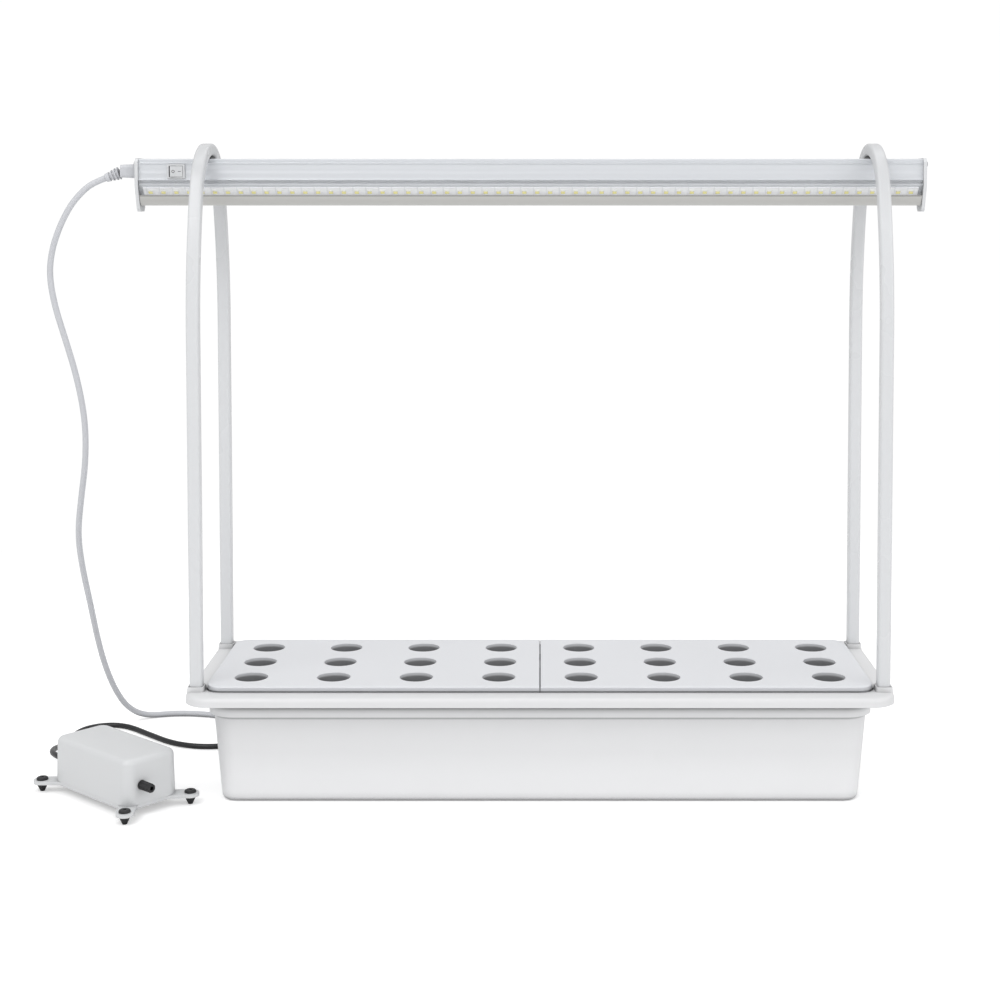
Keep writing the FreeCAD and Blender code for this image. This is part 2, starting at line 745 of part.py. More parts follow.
def make_housing():
    housing = new_body("lamp_housing")
    stand(housing, x="lamp_shift", z=LAMP_TOP)
    section = new_sketch(housing, "YZ_Plane")
    outline(section, both_sides([
        ("lamp_top_half - 0.6", "0"),
        ("lamp_top_half", "-0.6"),
        ("lamp_top_half", "-lamp_lip"),
        ("lamp_ridge_half", "-lamp_lip - 0.2"),
        ("lamp_ridge_half", "-%s + 0.2" % SIDE_TOP),
        ("lamp_side_half", "-" + SIDE_TOP),
        ("lamp_side_half", "-" + SIDE_END, SIDE_BEND, 1),
        ("lamp_ridge_half", "-%s - 0.2" % SIDE_END),
        ("lamp_ridge_half", "-%s + 0.2" % SLOT_TOP),
        ("lamp_hook_half", "-" + SLOT_TOP),
        ("lamp_hook_half", "-" + SLOT_END),
        ("lamp_top_half", "-%s - 0.3" % SLOT_END),
        ("lamp_top_half", "-" + SEAT_TOP),
        ("lamp_tip_half", "-%s - %s" % (SEAT_TOP, SEAT_DROP)),
        ("lamp_tip_half - 0.8", "-%s - %s - 1" % (SEAT_TOP, SEAT_DROP)),
    ]))
    extrude(housing, section, HOUSING_LENGTH, middle=True)
    inside = new_sketch(housing, "YZ_Plane")
    chamber(inside, "0")
    extrude(housing, inside, "lamp_length", grows=False, middle=True)
    ports = new_sketch(housing, "YZ_Plane")
    bores = new_sketch(housing, "YZ_Plane")
    for side in ("-", ""):
        circle(ports, "port_bore + 2*port_wall", side + PORT_Y, "-" + PORT_DROP)
        circle(bores, "port_bore", side + PORT_Y, "-" + PORT_DROP)
    extrude(housing, ports, HOUSING_LENGTH, middle=True)
    extrude(housing, bores, "lamp_length", grows=False, middle=True)
    window = new_sketch(housing, "XZ_Plane", "lamp_side_half - switch_body_depth - 1")
    length = "switch_body_length + 2*switch_gap"
    height = "switch_body_height + 2*switch_gap"
    rectangle(window, length, height, "switch_x - lamp_shift", "-" + SWITCH_DROP)
    extrude(housing, window, "switch_body_depth + 4*lamp_wall", grows=False, back=True)
    taps = new_sketch(housing, "XY_Plane", "-2*lamp_wall")
    for side in ("-", ""):
        circle(taps, "screw_shank + 0.1", "%sarch_spacing/2 - lamp_shift" % side)
    extrude(housing, taps, "4*lamp_wall", grows=False, back=True)


SIDE_BEND = "(lamp_side^2/(8*lamp_hollow_bend))"
SWITCH_DROP = "(lamp_lip + lamp_ridge + lamp_side/2)"


def chamber(sketch, gap):
    """The room inside the housing, or what fills it with a gap all round."""
    side = "(lamp_side_half - lamp_wall - %s)" % gap
    neck = "(lamp_hook_half - lamp_wall - %s)" % gap
    outline(sketch, both_sides([
        (side, "-lamp_wall - %s" % gap),
        (side, "-%s + 1" % SIDE_END),
        (neck, "-%s + 0.4" % SLOT_TOP),
        (neck, "-%s + 1.2" % SEAT_TOP),
        ("lamp_tip_half - lamp_wall/2", "-%s - %s + lamp_wall + %s" % (SEAT_TOP, SEAT_DROP, gap)),
    ]))


def on_seat(sign, down, out):
    """A point on the slanted seat: down along it from its top edge, and out from it."""
    y = "%s(lamp_top_half + (%s - (%s))*sqrt(0.5))" % (sign, out, down)
    z = "-%s - (%s + (%s))*sqrt(0.5)" % (SEAT_TOP, out, down)
    return y, z


def make_board(label, sign):
    board = new_body(label)
    stand(board, x="lamp_shift", z=LAMP_TOP)
    section = new_sketch(board, "YZ_Plane")
    low, high = BOARD_START, BOARD_START + " + board_width"
    outline(section, [
        on_seat(sign, low, "0.05"),
        on_seat(sign, high, "0.05"),
        on_seat(sign, high, "board_thick"),
        on_seat(sign, low, "board_thick"),
    ])
    extrude(board, section, "%s - 6" % HOUSING_LENGTH, middle=True)


BOARD_START = "(%s/sqrt(0.5) - board_width)/2" % SEAT_DROP


def make_chips(label, sign):
    chips = new_body(label, apart=True)
    stand(chips, x="lamp_shift", z=LAMP_TOP)
    section = new_sketch(chips, "YZ_Plane", "-(chip_count - 1)*chip_pitch/2 - chip_length/2")
    middle = "(%s/sqrt(0.5)/2)" % SEAT_DROP
    low, high = middle + " - chip_width/2", middle + " + chip_width/2"
    outline(section, [
        on_seat(sign, low, "board_thick"),
        on_seat(sign, high, "board_thick"),
        on_seat(sign, high, "board_thick + chip_height"),
        on_seat(sign, low, "board_thick + chip_height"),
    ])
    first = extrude(chips, section, "chip_length")
    repeat(chips, first, ("X_Axis", "(chip_count - 1)*chip_pitch", "chip_count"))


def make_cover():
    """The clear cover: a bowed trough whose two hooks sit in the housing's slots."""
    cover = new_body("lamp_cover")
    stand(cover, x="lamp_shift", z=LAMP_TOP)
    section = new_sketch(cover, "YZ_Plane")
    hook_top = "-%s - cover_gap" % SLOT_TOP
    hook_low = "-%s + cover_gap" % SLOT_END
    hook_in = "lamp_hook_half + cover_gap"
    right = [
        (hook_in, hook_top),
        ("cover_half", hook_top),
        ("cover_toe + 1", "-cover_depth + 1", "24", -1),
        ("cover_toe", "-cover_depth"),
    ]
    left = [
        ("-(cover_toe)", "-cover_depth"),
        ("-(cover_toe + 1)", "-cover_depth + 1"),
        ("-(cover_half)", hook_top, "24", -1),
        ("-(%s)" % hook_in, hook_top),
        ("-(%s)" % hook_in, hook_low),
        ("-(cover_half - cover_wall)", hook_low),
    ]
    inner = [
        ("-(cover_toe + 1 - cover_wall)", "-cover_depth + 1 + cover_wall/2", "23", 1),
        ("-(cover_toe) + cover_wall", "-cover_depth + cover_wall"),
        ("cover_toe - cover_wall", "-cover_depth + cover_wall"),
        ("cover_toe + 1 - cover_wall", "-cover_depth + 1 + cover_wall/2"),
        ("cover_half - cover_wall", hook_low, "23", 1),
        (hook_in, hook_low),
    ]
    outline(section, right + left + inner)
    extrude(cover, section, "%s - 1" % HOUSING_LENGTH, middle=True)


def make_cap(label, turn, has_inlet):
    cap = new_body(label)
    stand(cap, x="lamp_shift", z=LAMP_TOP, turn=turn)
    plate = new_sketch(cap, "YZ_Plane", "lamp_length/2 - cap_thick")
    wide = "(cover_half + cap_margin/2)"
    outline(plate, both_sides([
        ("lamp_top_half", "0.5"),
        (wide, "-lamp_lip"),
        (wide, "-" + SEAT_TOP),
        ("cover_toe + cap_margin", "-cover_depth - cap_drop + 2"),
        ("cover_toe - cap_margin", "-cover_depth - cap_drop"),
    ]))
    extrude(cap, plate, "cap_thick")
    plug = new_sketch(cap, "YZ_Plane", "lamp_length/2 - cap_thick")
    chamber(plug, "cap_plug_gap")
    extrude(cap, plug, "cap_plug", back=True)
    relief = new_sketch(cap, "YZ_Plane", "lamp_length/2 - cap_thick")
    for side in ("-", ""):
        rectangle(relief, PORT_ROOM, PORT_ROOM, side + PORT_Y, "-%s + port_wall/2" % PORT_DROP)
    extrude(cap, relief, "cap_plug", grows=False)
    bores = new_sketch(cap, "YZ_Plane", "lamp_length/2 - cap_thick - cap_plug")
    for side in ("-", ""):
        circle(bores, "port_bore + 0.3", side + PORT_Y, "-" + PORT_DROP)
    extrude(cap, bores, "2*cap_plug", grows=False, back=True)
    if has_inlet:
        opening = new_sketch(cap, "YZ_Plane", "lamp_length/2 + 1")
        length, height = "inlet_width + 2*cap_plug_gap", "inlet_height + 2*cap_plug_gap"
        rectangle(opening, length, height, "0", "-plug_drop")
        extrude(cap, opening, "cap_thick + cap_plug + 2", grows=False)


PORT_ROOM = "(port_bore + 2*port_wall + 2*cap_plug_gap + port_wall)"


def make_cap_screws():
    screws = new_body("cap_screws", apart=True)
    stand(screws, "lamp_shift + lamp_length/2", "-" + PORT_Y, "%s - %s" % (LAMP_TOP, PORT_DROP))
    profile = new_sketch(screws, "XY_Plane")
    outline(profile, screw_side("1", "0"))
    first = revolve(screws, profile, "H_Axis")
    mirror_profile = new_sketch(screws, "XY_Plane")
    outline(mirror_profile, screw_side("-1", "-lamp_length"))
    second = revolve(screws, mirror_profile, "H_Axis")
    for feature in (first, second):
        repeat(screws, feature, ("Y_Axis", "2*" + PORT_Y, 2))


def screw_side(sign, start):
    """Half of a cap screw that lies along the lamp, with its head outward."""
    corners = [
        ("-cap_screw_length", "0"),
        ("-cap_screw_length", "port_bore/2 - 0.5"),
        ("-cap_screw_length + 1", "port_bore/2 - 0.05"),
        ("0", "port_bore/2 - 0.05"),
        ("0", "cap_screw_head/2"),
        ("0.6*cap_screw_height", "cap_screw_head/2"),
        ("cap_screw_height", "0.3*cap_screw_head"),
        ("cap_screw_height", "0"),
    ]
    return [("%s + %s*(%s)" % (start, sign, x), y) for x, y in corners]


# Switch: a bezelled body in the front wall, with a rocker on a pin across it

SWITCH_FACE = "(lamp_side_half + switch_bezel_proud)"
PIVOT_Y = "(lamp_side_half + switch_bezel_proud - rocker_pivot_depth)"


def make_switch():
    body = new_body("switch_body")
    stand(body, "switch_x", "0", "%s - %s" % (LAMP_TOP, SWITCH_DROP))
    bezel = new_sketch(body, "XZ_Plane", "lamp_side_half")
    rounded(bezel, "switch_bezel_length", "switch_bezel_height", "0.8")
    extrude(body, bezel, "switch_bezel_proud")
    front = mm(SWITCH_FACE)
    blend(body, "0.4", lambda edge: abs(edge.BoundBox.YMin + front) < 0.01 and edge.BoundBox.YLength < 0.01)
    box = new_sketch(body, "XZ_Plane", "lamp_side_half")
    rectangle(box, "switch_body_length", "switch_body_height")
    extrude(body, box, "switch_body_depth", back=True)
    window = new_sketch(body, "XZ_Plane", SWITCH_FACE + " + 1")
    rectangle(window, "rocker_window_length", "rocker_window_height")
    extrude(body, window, "switch_body_depth - 1", grows=False)
    eyes = new_sketch(body, "XY_Plane", "-switch_body_height/2 - 1")
    circle(eyes, "rocker_pin + 2*switch_gap", "0", "-" + PIVOT_Y)
    extrude(body, eyes, "switch_body_height + 2", grows=False, back=True)
    tags = new_sketch(body, "XZ_Plane", "lamp_side_half - switch_body_depth")
    for side in ("-", ""):
        rectangle(tags, "0.8", "4", "%s(switch_body_length/4)" % side)
    extrude(body, tags, "5", back=True)


def make_rocker():
    """The rocker, drawn level about its pin and set down at its tilted rest."""
    rocker = new_body("switch_rocker")
    pivot_z = "%s - %s" % (LAMP_TOP, SWITCH_DROP)
    stand(rocker, "switch_x", "-" + PIVOT_Y, pivot_z, "rocker_tilt")
    side = new_sketch(rocker, "XY_Plane")
    half = "rocker_length/2"
    front = "-(rocker_pivot_depth + rocker_proud)"
    outline(side, [
        ("-%s + 1.4" % half, "0.6"),
        ("-%s" % half, "-rocker_pivot_depth + 2"),
        ("-%s" % half, front),
        ("0", "%s + 0.5" % front, "28", 1),
        (half, front, "28", 1),
        (half, "-rocker_pivot_depth + 2"),
        ("%s - 1.4" % half, "0.6"),
        ("0", "2.4"),
    ])
    extrude(rocker, side, "rocker_height", middle=True)
    pin_end = new_sketch(rocker, "XY_Plane")
    circle(pin_end, "rocker_pin")
    extrude(rocker, pin_end, "switch_body_height", middle=True)


# Driver board and its parts inside the housing

DRIVER_DROP = "(lamp_lip + lamp_ridge + lamp_side - 2)"


def make_driver():
    board = new_body("driver_board")
    stand(board, "driver_x", "0", "%s - %s" % (LAMP_TOP, DRIVER_DROP))
    plate = new_sketch(board, "XY_Plane")
    rectangle(plate, "driver_length", "2*(lamp_side_half - lamp_wall - 0.8)")
    extrude(board, plate, "driver_thick", back=True)

    parts = new_body("driver_parts", apart=True)
    stand(parts, "driver_x", "0", "%s - %s" % (LAMP_TOP, DRIVER_DROP))
    for place, length, width, height in DRIVER_BLOCKS:
        block = new_sketch(parts, "XY_Plane")
        rectangle(block, length, width, place)
        extrude(parts, block, height)
    for place, across in DRIVER_CANS:
        can = new_sketch(parts, "XY_Plane")
        circle(can, across, place)
        extrude(parts, can, "7")


DRIVER_BLOCKS = [("-20", "14", "12", "6.5"), ("8", "10", "9", "5"), ("34", "6", "12", "4")]
DRIVER_CANS = [("-42", "8"), ("-56", "6"), ("54", "8")]


def make_inlet():
    """The socket in the left cap: a box open to the left, with its two pins."""
    inlet = new_body("lamp_inlet")
    stand(inlet, "lamp_shift - lamp_length/2", "0", "%s - plug_drop" % LAMP_TOP)
    box = new_sketch(inlet, "YZ_Plane")
    rectangle(box, "inlet_width", "inlet_height")
    extrude(inlet, box, "inlet_length")
    recess = new_sketch(inlet, "YZ_Plane")
    rectangle(recess, "inlet_width - 2*inlet_wall", "inlet_height - 2*inlet_wall")
    extrude(inlet, recess, "inlet_recess", grows=False, back=True)
    contacts = new_sketch(inlet, "YZ_Plane", "1")
    for side in ("-", ""):
        circle(contacts, "2", "%sinlet_width/5" % side)
    extrude(inlet, contacts, "inlet_recess")


def make_connector():
    """The plug on the lamp's cord, with its drooping ribbed relief."""
    plug = new_body("lamp_connector")
    stand(plug, "lamp_shift - lamp_length/2", "0", "%s - plug_drop" % LAMP_TOP)
    shell = new_sketch(plug, "YZ_Plane", "-0.05")
    rounded(shell, "connector_width", "connector_height", "3")
    extrude(plug, shell, "connector_length", back=True, draft="-3")
    nose = new_sketch(plug, "YZ_Plane", "-1")
    rectangle(nose, NOSE_WIDTH, NOSE_HEIGHT)
    extrude(plug, nose, "inlet_recess + 0.4")
    pockets = new_sketch(plug, "YZ_Plane", "-1")
    for side in ("-", ""):
        circle(pockets, "2.4", "%sinlet_width/5" % side)
    extrude(plug, pockets, "inlet_recess + 2", grows=False, back=True)


NOSE_WIDTH = "inlet_width - 2*inlet_wall - 0.4"
NOSE_HEIGHT = "inlet_height - 2*inlet_wall - 0.4"


def make_connector_relief():
    """The ribbed sleeve, turned about its own axis and set at its droop."""
    sleeve = new_body("lamp_cord_relief")
    stand(sleeve, "lamp_shift - lamp_length/2 - connector_length + 2", "0", "%s - plug_drop" % LAMP_TOP,
          "180 - relief_droop", (0, 1, 0))
    profile = new_sketch(sleeve, "XZ_Plane")
    large, small = "relief_diameter/2", "(lamp_cord/2 + 0.9)"
    corners = [("2.3", "0"), ("4.2", large)]
    for rib in range(3):
        share = "(%d/3)" % rib
        waist = "(%s + (%s - %s)*%s)" % (large, small, large, share)
        place = "(4.8 + (relief_length - 4.8)*%s)" % share
        corners += [(place, waist), (place, waist + " - 0.9"),
                    (place + " + 1.6", waist + " - 0.9"), (place + " + 1.6", waist + " - 0.2")]
    corners += [("relief_length + 2", small), ("relief_length + 2", "0")]
    outline(profile, corners)
    revolve(sleeve, profile, "H_Axis")


# Air pump, drawn about its own middle with its nozzle along its own +X

EAR_X = "(pump_length/2 + pump_ear_reach)"
EAR_Y = "(pump_width/2 + pump_ear_reach)"
BASE_TOP = "(pump_base_level + pump_base_thick)"
POST_X = "(pump_length/2 - post_inset)"
POST_Y = "(pump_width/2 - post_inset)"


def corner_places(x, y):
    return [("%s(%s)" % (a, x), "%s(%s)" % (b, y)) for a in ("-", "") for b in ("-", "")]


def make_pump_base():
    base = new_body("pump_base")
    on_pump(base)
    plate = new_sketch(base, "XY_Plane", "pump_base_level")
    rounded(plate, "pump_length", "pump_width", "pump_corner")
    extrude(base, plate, "pump_base_thick")
    for a, b in ((1, 1), (1, -1), (-1, 1), (-1, -1)):
        ear = new_sketch(base, "XY_Plane", "pump_base_level")
        reach = "pump_ear_radius*sqrt(0.5)"
        inner_x, inner_y = "(pump_length/2 - pump_corner)", "(pump_width/2 - pump_corner)"
        turn = a * b
        far_x, near_x = ("%d*(%s %s %s)" % (a, EAR_X, way, reach) for way in "+-")
        far_y, near_y = ("%d*(%s %s %s)" % (b, EAR_Y, way, reach) for way in "+-")
        outline(ear, [
            ("%d*(%s + %s)" % (a, inner_x, reach), "%d*(%s - %s)" % (b, inner_y, reach)),
            (far_x, near_y),
            (far_x, far_y, "pump_ear_radius", turn),
            (near_x, far_y, "pump_ear_radius", turn),
            ("%d*(%s - %s)" % (a, inner_x, reach), "%d*(%s + %s)" % (b, inner_y, reach)),
        ])
        extrude(base, ear, "pump_base_thick")
    long_half, short_half = mm("pump_length/2"), mm("pump_width/2")

    def in_crook(spot):
        on_end = abs(abs(spot.x) - long_half) < 0.05 and abs(spot.y) < short_half
        on_side = abs(abs(spot.y) - short_half) < 0.05 and abs(spot.x) < long_half
        return on_end or on_side
    crooks = along("Z", in_crook)
    blend(base, "pump_ear_blend", crooks)
    holes = new_sketch(base, "XY_Plane", "0")
    for x, y in corner_places(EAR_X, EAR_Y):
        circle(holes, "foot_stem + 2*foot_gap", x, y)
    for x, y in corner_places(POST_X, POST_Y):
        circle(holes, "pump_screw_shank + 2*screw_gap", x, y)
    extrude(base, holes, "pump_height", grows=False, back=True)
    stub = new_sketch(base, "XY_Plane", "pump_base_level")
    circle(stub, "arm_eye", ARM_X, "arm_pin_y")
    extrude(base, stub, "drive_z - arm_height/2 - 0.3 - pump_base_level")
    blocks = new_sketch(base, "XY_Plane", "pump_base_level")
    core_width = "core_middle_leg + 2*core_window + 2*core_leg"
    rectangle(blocks, "core_length - 4", core_width + " - 4", CORE_MIDDLE, "core_y")
    rectangle(blocks, "valve_length - 4", "valve_width - 4", VALVE_MIDDLE)
    extrude(base, blocks, "drive_z - core_height/2 - pump_base_level")
    trim = new_sketch(base, "XY_Plane", "drive_z - valve_height/2")
    rectangle(trim, "valve_length", "valve_width", VALVE_MIDDLE)
    extrude(base, trim, "pump_height", grows=False, back=True)
    room = new_sketch(base, "XY_Plane", "drive_z - core_height/2 - core_window + winding_gap/2")
    rectangle(room, "core_length - core_back", "core_middle_leg + 2*core_window", WINDING_MIDDLE, "core_y")
    extrude(base, room, "pump_height", grows=False, back=True)


CORE_MIDDLE = "(pole_x - core_length/2)"
WINDING_MIDDLE = "(pole_x - (core_length - core_back)/2)"
ARM_X = "(pole_x + pole_gap + magnet_thick + arm_thick/2)"
BELLOWS_X = "(pole_x + pole_gap + magnet_thick + arm_thick)"
VALVE_X = "(pole_x + pole_gap + magnet_thick + arm_thick + bellows_length)"
VALVE_MIDDLE = "(pole_x + pole_gap + magnet_thick + arm_thick + bellows_length + valve_length/2)"


def make_pump_cover():
    """The cover: a drafted box with round upright and top edges, hollow inside."""
    cover = new_body("pump_cover")
    on_pump(cover)
    block = new_sketch(cover, "XY_Plane", BASE_TOP)
    rounded(block, "pump_length", "pump_width", "pump_corner")
    extrude(cover, block, "pump_height - " + BASE_TOP, draft="-pump_draft")
    blend(cover, "pump_top_round", at_level("pump_height"))
    inside = new_sketch(cover, "XY_Plane", BASE_TOP)
    rounded(inside, "pump_length - 2*pump_wall", "pump_width - 2*pump_wall", "(pump_corner - pump_wall)")
    depth = "pump_height - pump_wall - " + BASE_TOP
    extrude(cover, inside, depth, grows=False, draft="-pump_draft", back=True)
    posts = new_sketch(cover, "XY_Plane", BASE_TOP)
    bores = new_sketch(cover, "XY_Plane", BASE_TOP)
    for x, y in corner_places(POST_X, POST_Y):
        circle(posts, "post_diameter", x, y)
        circle(bores, "pump_screw_shank", x, y)
    extrude(cover, posts, "pump_height - pump_wall/2 - " + BASE_TOP)
    extrude(cover, bores, "14", grows=False, back=True)
    outlet = new_sketch(cover, "YZ_Plane", "pump_length/2 + 2")
    circle(outlet, "nozzle_diameter + 2*nozzle_gap", "nozzle_y", "nozzle_z")
    extrude(cover, outlet, "3*pump_wall + 2", grows=False)
    inlet = new_sketch(cover, "YZ_Plane", "-pump_length/2 - 2")
    circle(inlet, "gland_large - 2", "0", "gland_z")
    extrude(cover, inlet, "3*pump_wall + 2", grows=False, back=True)


def make_pump_feet():
    """Push-in rubber feet: a round head on the ear, a stem and a pointed barb."""
    feet = new_body("pump_feet", apart=True)
    on_pump(feet, "-" + EAR_X, "-" + EAR_Y)
    profile = new_sketch(feet, "XZ_Plane")
    top = BASE_TOP
    outline(profile, [
        ("0", "0"),
        ("foot_tip/2", "0"),
        ("foot_cone/2", "pump_base_level - 1.6"),
        ("foot_cone/2", "pump_base_level - 0.05"),
        ("foot_stem/2", "pump_base_level - 0.05"),
        ("foot_stem/2", top + " + 0.05"),
        ("foot_head/2", top + " + 0.05"),
        ("foot_head/2", top + " + 0.5*foot_head_height"),
        ("foot_head/2 - 1", top + " + foot_head_height", "1.4", 1),
        ("1.2", top + " + foot_head_height"),
        ("1.0", top + " + foot_head_height - 0.8"),
        ("0", top + " + foot_head_height - 0.8"),
    ])
    first = revolve(feet, profile)
    repeat(feet, first, ("X_Axis", "2*" + EAR_X, 2), ("Y_Axis", "2*" + EAR_Y, 2))


def make_pump_screws():
    screws = new_body("pump_screws", apart=True)
    on_pump(screws, "-" + POST_X, "-" + POST_Y)
    profile = new_sketch(screws, "XZ_Plane")
    low = "pump_base_level"
    outline(profile, [
        ("0", low + " - 1.6"),
        ("0.3*pump_screw_head", low + " - 1.6"),
        ("pump_screw_head/2", low + " - 0.8"),
        ("pump_screw_head/2", low),
        ("pump_screw_shank/2 - 0.05", low),
        ("pump_screw_shank/2 - 0.05", BASE_TOP + " + 10"),
        ("0.4", BASE_TOP + " + 11.5"),
        ("0", BASE_TOP + " + 11.5"),
    ])
    first = revolve(screws, profile)
    repeat(screws, first, ("X_Axis", "2*" + POST_X, 2), ("Y_Axis", "2*" + POST_Y, 2))


def make_nozzle():
    """The outlet: a bored stub from the valve block to the open air, fluted outside."""
    nozzle = new_body("pump_nozzle")
    on_pump(nozzle, VALVE_X + " + valve_length", "nozzle_y", "nozzle_z")
    reach = "pump_length/2 + nozzle_reach - %s - valve_length" % VALVE_X
    disc = new_sketch(nozzle, "YZ_Plane")
    circle(disc, "nozzle_diameter")
    circle(disc, "nozzle_bore")
    extrude(nozzle, disc, reach)
    collar = new_sketch(nozzle, "YZ_Plane")
    circle(collar, "nozzle_diameter + 3")
    circle(collar, "nozzle_diameter - 0.2")
    extrude(nozzle, collar, "2")
    tip = mm(reach)
    blend(nozzle, "0.7", lambda edge: abs(edge.BoundBox.XMax - tip) < 0.01
          and edge.BoundBox.XLength < 0.01 and edge.BoundBox.YLength > mm("nozzle_bore") + 1)
    flute = new_sketch(nozzle, "YZ_Plane", reach + " + 1")
    rectangle(flute, "nozzle_flute", "1", "0", "nozzle_diameter/2 + 0.1")
    groove = extrude(nozzle, flute, "nozzle_reach", grows=False)
    wheel = nozzle.newObject("PartDesign::PolarPattern", "Flutes")
    wheel.Originals = [groove]
    wheel.Axis = (origin_feature(nozzle, "X_Axis"), [""])
    wheel.Angle = 360
    wheel.Occurrences = 8
    nozzle.Tip = wheel
    doc.recompute()


def make_core():
    """The laminated iron core, an E seen from above with its poles to the arm."""
    core = new_body("pump_core")
    on_pump(core, z="drive_z")
    half = "(core_middle_leg/2 + core_window + core_leg)"
    back = new_sketch(core, "XY_Plane")
    rectangle(back, "core_length", "2*" + half, CORE_MIDDLE, "core_y")
    extrude(core, back, "core_height", middle=True)
    windows = new_sketch(core, "XY_Plane")
    for sign in ("-", "+"):
        rectangle(windows, "core_length - core_back + 0.02", "core_window", WINDING_MIDDLE + " + 0.01",
                  "core_y %s (core_middle_leg + core_window)/2" % sign)
    extrude(core, windows, "core_height + 2", grows=False, middle=True)


def make_winding():
    winding = new_body("pump_winding")
    on_pump(winding, z="drive_z")
    ring = new_sketch(winding, "YZ_Plane", WINDING_MIDDLE)
    outer_width = "core_middle_leg + 2*core_window - 2*winding_gap"
    outer_height = "core_height + 2*core_window - 2*winding_gap"
    rounded(ring, outer_width, outer_height, "3", "core_y")
    rectangle(ring, "core_middle_leg + 2*winding_gap", "core_height + 2*winding_gap", "core_y")
    extrude(winding, ring, "core_length - core_back - 4", middle=True)


def make_arm():
    """The swing arm: an eye on its pin at one end and the magnet at the other."""
    arm = new_body("pump_arm")
    on_pump(arm, ARM_X, "arm_pin_y", "drive_z")
    strip = new_sketch(arm, "XY_Plane")
    reach = "arm_pin_y - core_y + magnet_width/2"
    rectangle(strip, "arm_thick", reach, "0", "-(%s)/2" % reach)
    extrude(arm, strip, "arm_height", middle=True)
    eye = new_sketch(arm, "XY_Plane")
    circle(eye, "arm_eye")
    extrude(arm, eye, "arm_height", middle=True)
    bore = new_sketch(arm, "XY_Plane")
    circle(bore, "arm_pin + 2*arm_pin_gap")
    extrude(arm, bore, "2*arm_height", grows=False, middle=True)

    magnet = new_body("pump_magnet")
    on_pump(magnet, ARM_X + " - arm_thick/2 - magnet_thick/2", "core_y", "drive_z")
    slab = new_sketch(magnet, "XY_Plane")
    rectangle(slab, "magnet_thick", "magnet_width")
    extrude(magnet, slab, "magnet_height", middle=True)

    pin_body = new_body("pump_arm_pin")
    on_pump(pin_body, ARM_X, "arm_pin_y", "drive_z - arm_height/2 - 0.3")
    rod = new_sketch(pin_body, "XY_Plane")
    circle(rod, "arm_pin")
    extrude(pin_body, rod, "arm_height + 4")


def make_bellows():
    """The rubber bellows between the arm and the valve block."""
    bellows = new_body("pump_bellows")
    on_pump(bellows, BELLOWS_X, "0", "drive_z")
    profile = new_sketch(bellows, "XY_Plane")
    half, wall, length = "bellows_diameter/2", "bellows_wall", "bellows_length"
    outline(profile, [
        ("0.05", "0"),
        ("0.05", "0.35*bellows_diameter"),
        ("0.4*%s" % length, half),
        ("0.6*%s" % length, "%s - 2" % half),
        ("%s - 1.5" % length, half),
        ("%s - 0.05" % length, half),
        ("%s - 0.05" % length, "%s - %s" % (half, wall)),
        ("%s - 1.5" % length, "%s - %s" % (half, wall)),
        ("0.6*%s" % length, "%s - 2 - %s" % (half, wall)),
        ("0.4*%s" % length, "%s - %s" % (half, wall)),
        ("0.05 + 1.5*%s" % wall, "0.35*bellows_diameter - %s" % wall),
        ("0.05 + 1.5*%s" % wall, "0"),
    ])
    revolve(bellows, profile, "H_Axis")


def make_valve():
    valve = new_body("pump_valve_block")
    on_pump(valve, VALVE_X, "0", "drive_z")
    block = new_sketch(valve, "YZ_Plane")
    rounded(block, "valve_width", "valve_height", "2")
    extrude(valve, block, "valve_length - 0.05")
    room = new_sketch(valve, "YZ_Plane")
    circle(room, "bellows_diameter - 4")
    extrude(valve, room, "valve_length/2", grows=False, back=True)
    duct = new_sketch(valve, "YZ_Plane", "valve_length + 1")
    circle(duct, "nozzle_bore", "nozzle_y", "nozzle_z - drive_z")
    extrude(valve, duct, "valve_length/2", grows=False)


def make_gland():
    """The pump cord's tapered rubber relief, flanged inside and out of the cover."""
    gland = new_body("pump_cord_relief")
    stand(gland, "%s" % pump_east("-pump_length/2"), "%s" % pump_north("-pump_length/2"), "gland_z",
          "pump_turn + 180")
    profile = new_sketch(gland, "XY_Plane")
    small = "(pump_cord/2 + 0.7)"
    outline(profile, [
        ("-pump_wall - 3", "0"),
        ("-pump_wall - 3", "gland_large/2"),
        ("-pump_wall - 1.4", "gland_large/2"),
        ("-pump_wall - 1.4", "gland_large/2 - 1.2"),
        ("0.4", "gland_large/2 - 1.2"),
        ("0.4", "gland_large/2"),
        ("3", "gland_large/2"),
        ("gland_length", small),
        ("gland_length", "0"),
    ])
    revolve(gland, profile, "H_Axis")


def pump_east(x, y="0"):
    return "pump_x + (%s)*cos(pump_turn) - (%s)*sin(pump_turn)" % (x, y)


def pump_north(x, y="0"):
    return "pump_y + (%s)*sin(pump_turn) + (%s)*cos(pump_turn)" % (x, y)


# Cords: straight runs joined by tangent arcs, then a coil of loops and a plug


def swept(edges, diameter):
    """A round tube along a path of tangent edges."""
    path = Part.Wire(edges)
    start = edges[0].valueAt(edges[0].FirstParameter)
    heading = edges[0].tangentAt(edges[0].FirstParameter)
    ring = Part.Wire(Part.makeCircle(diameter / 2, start, heading))
    return path.makePipeShell([ring], True), path.Length


def arc_at(corner, back, ahead, reach):
    """The arc that rounds a corner, reach away from it along both runs."""
    half = back.getAngle(ahead) / 2
    centre_way = (back + ahead).normalize()
    radius = reach * math.tan(half)
    nearest = corner + centre_way * (reach / math.cos(half) - radius)
    return Part.Arc(corner + back * reach, nearest, corner + ahead * reach), radius


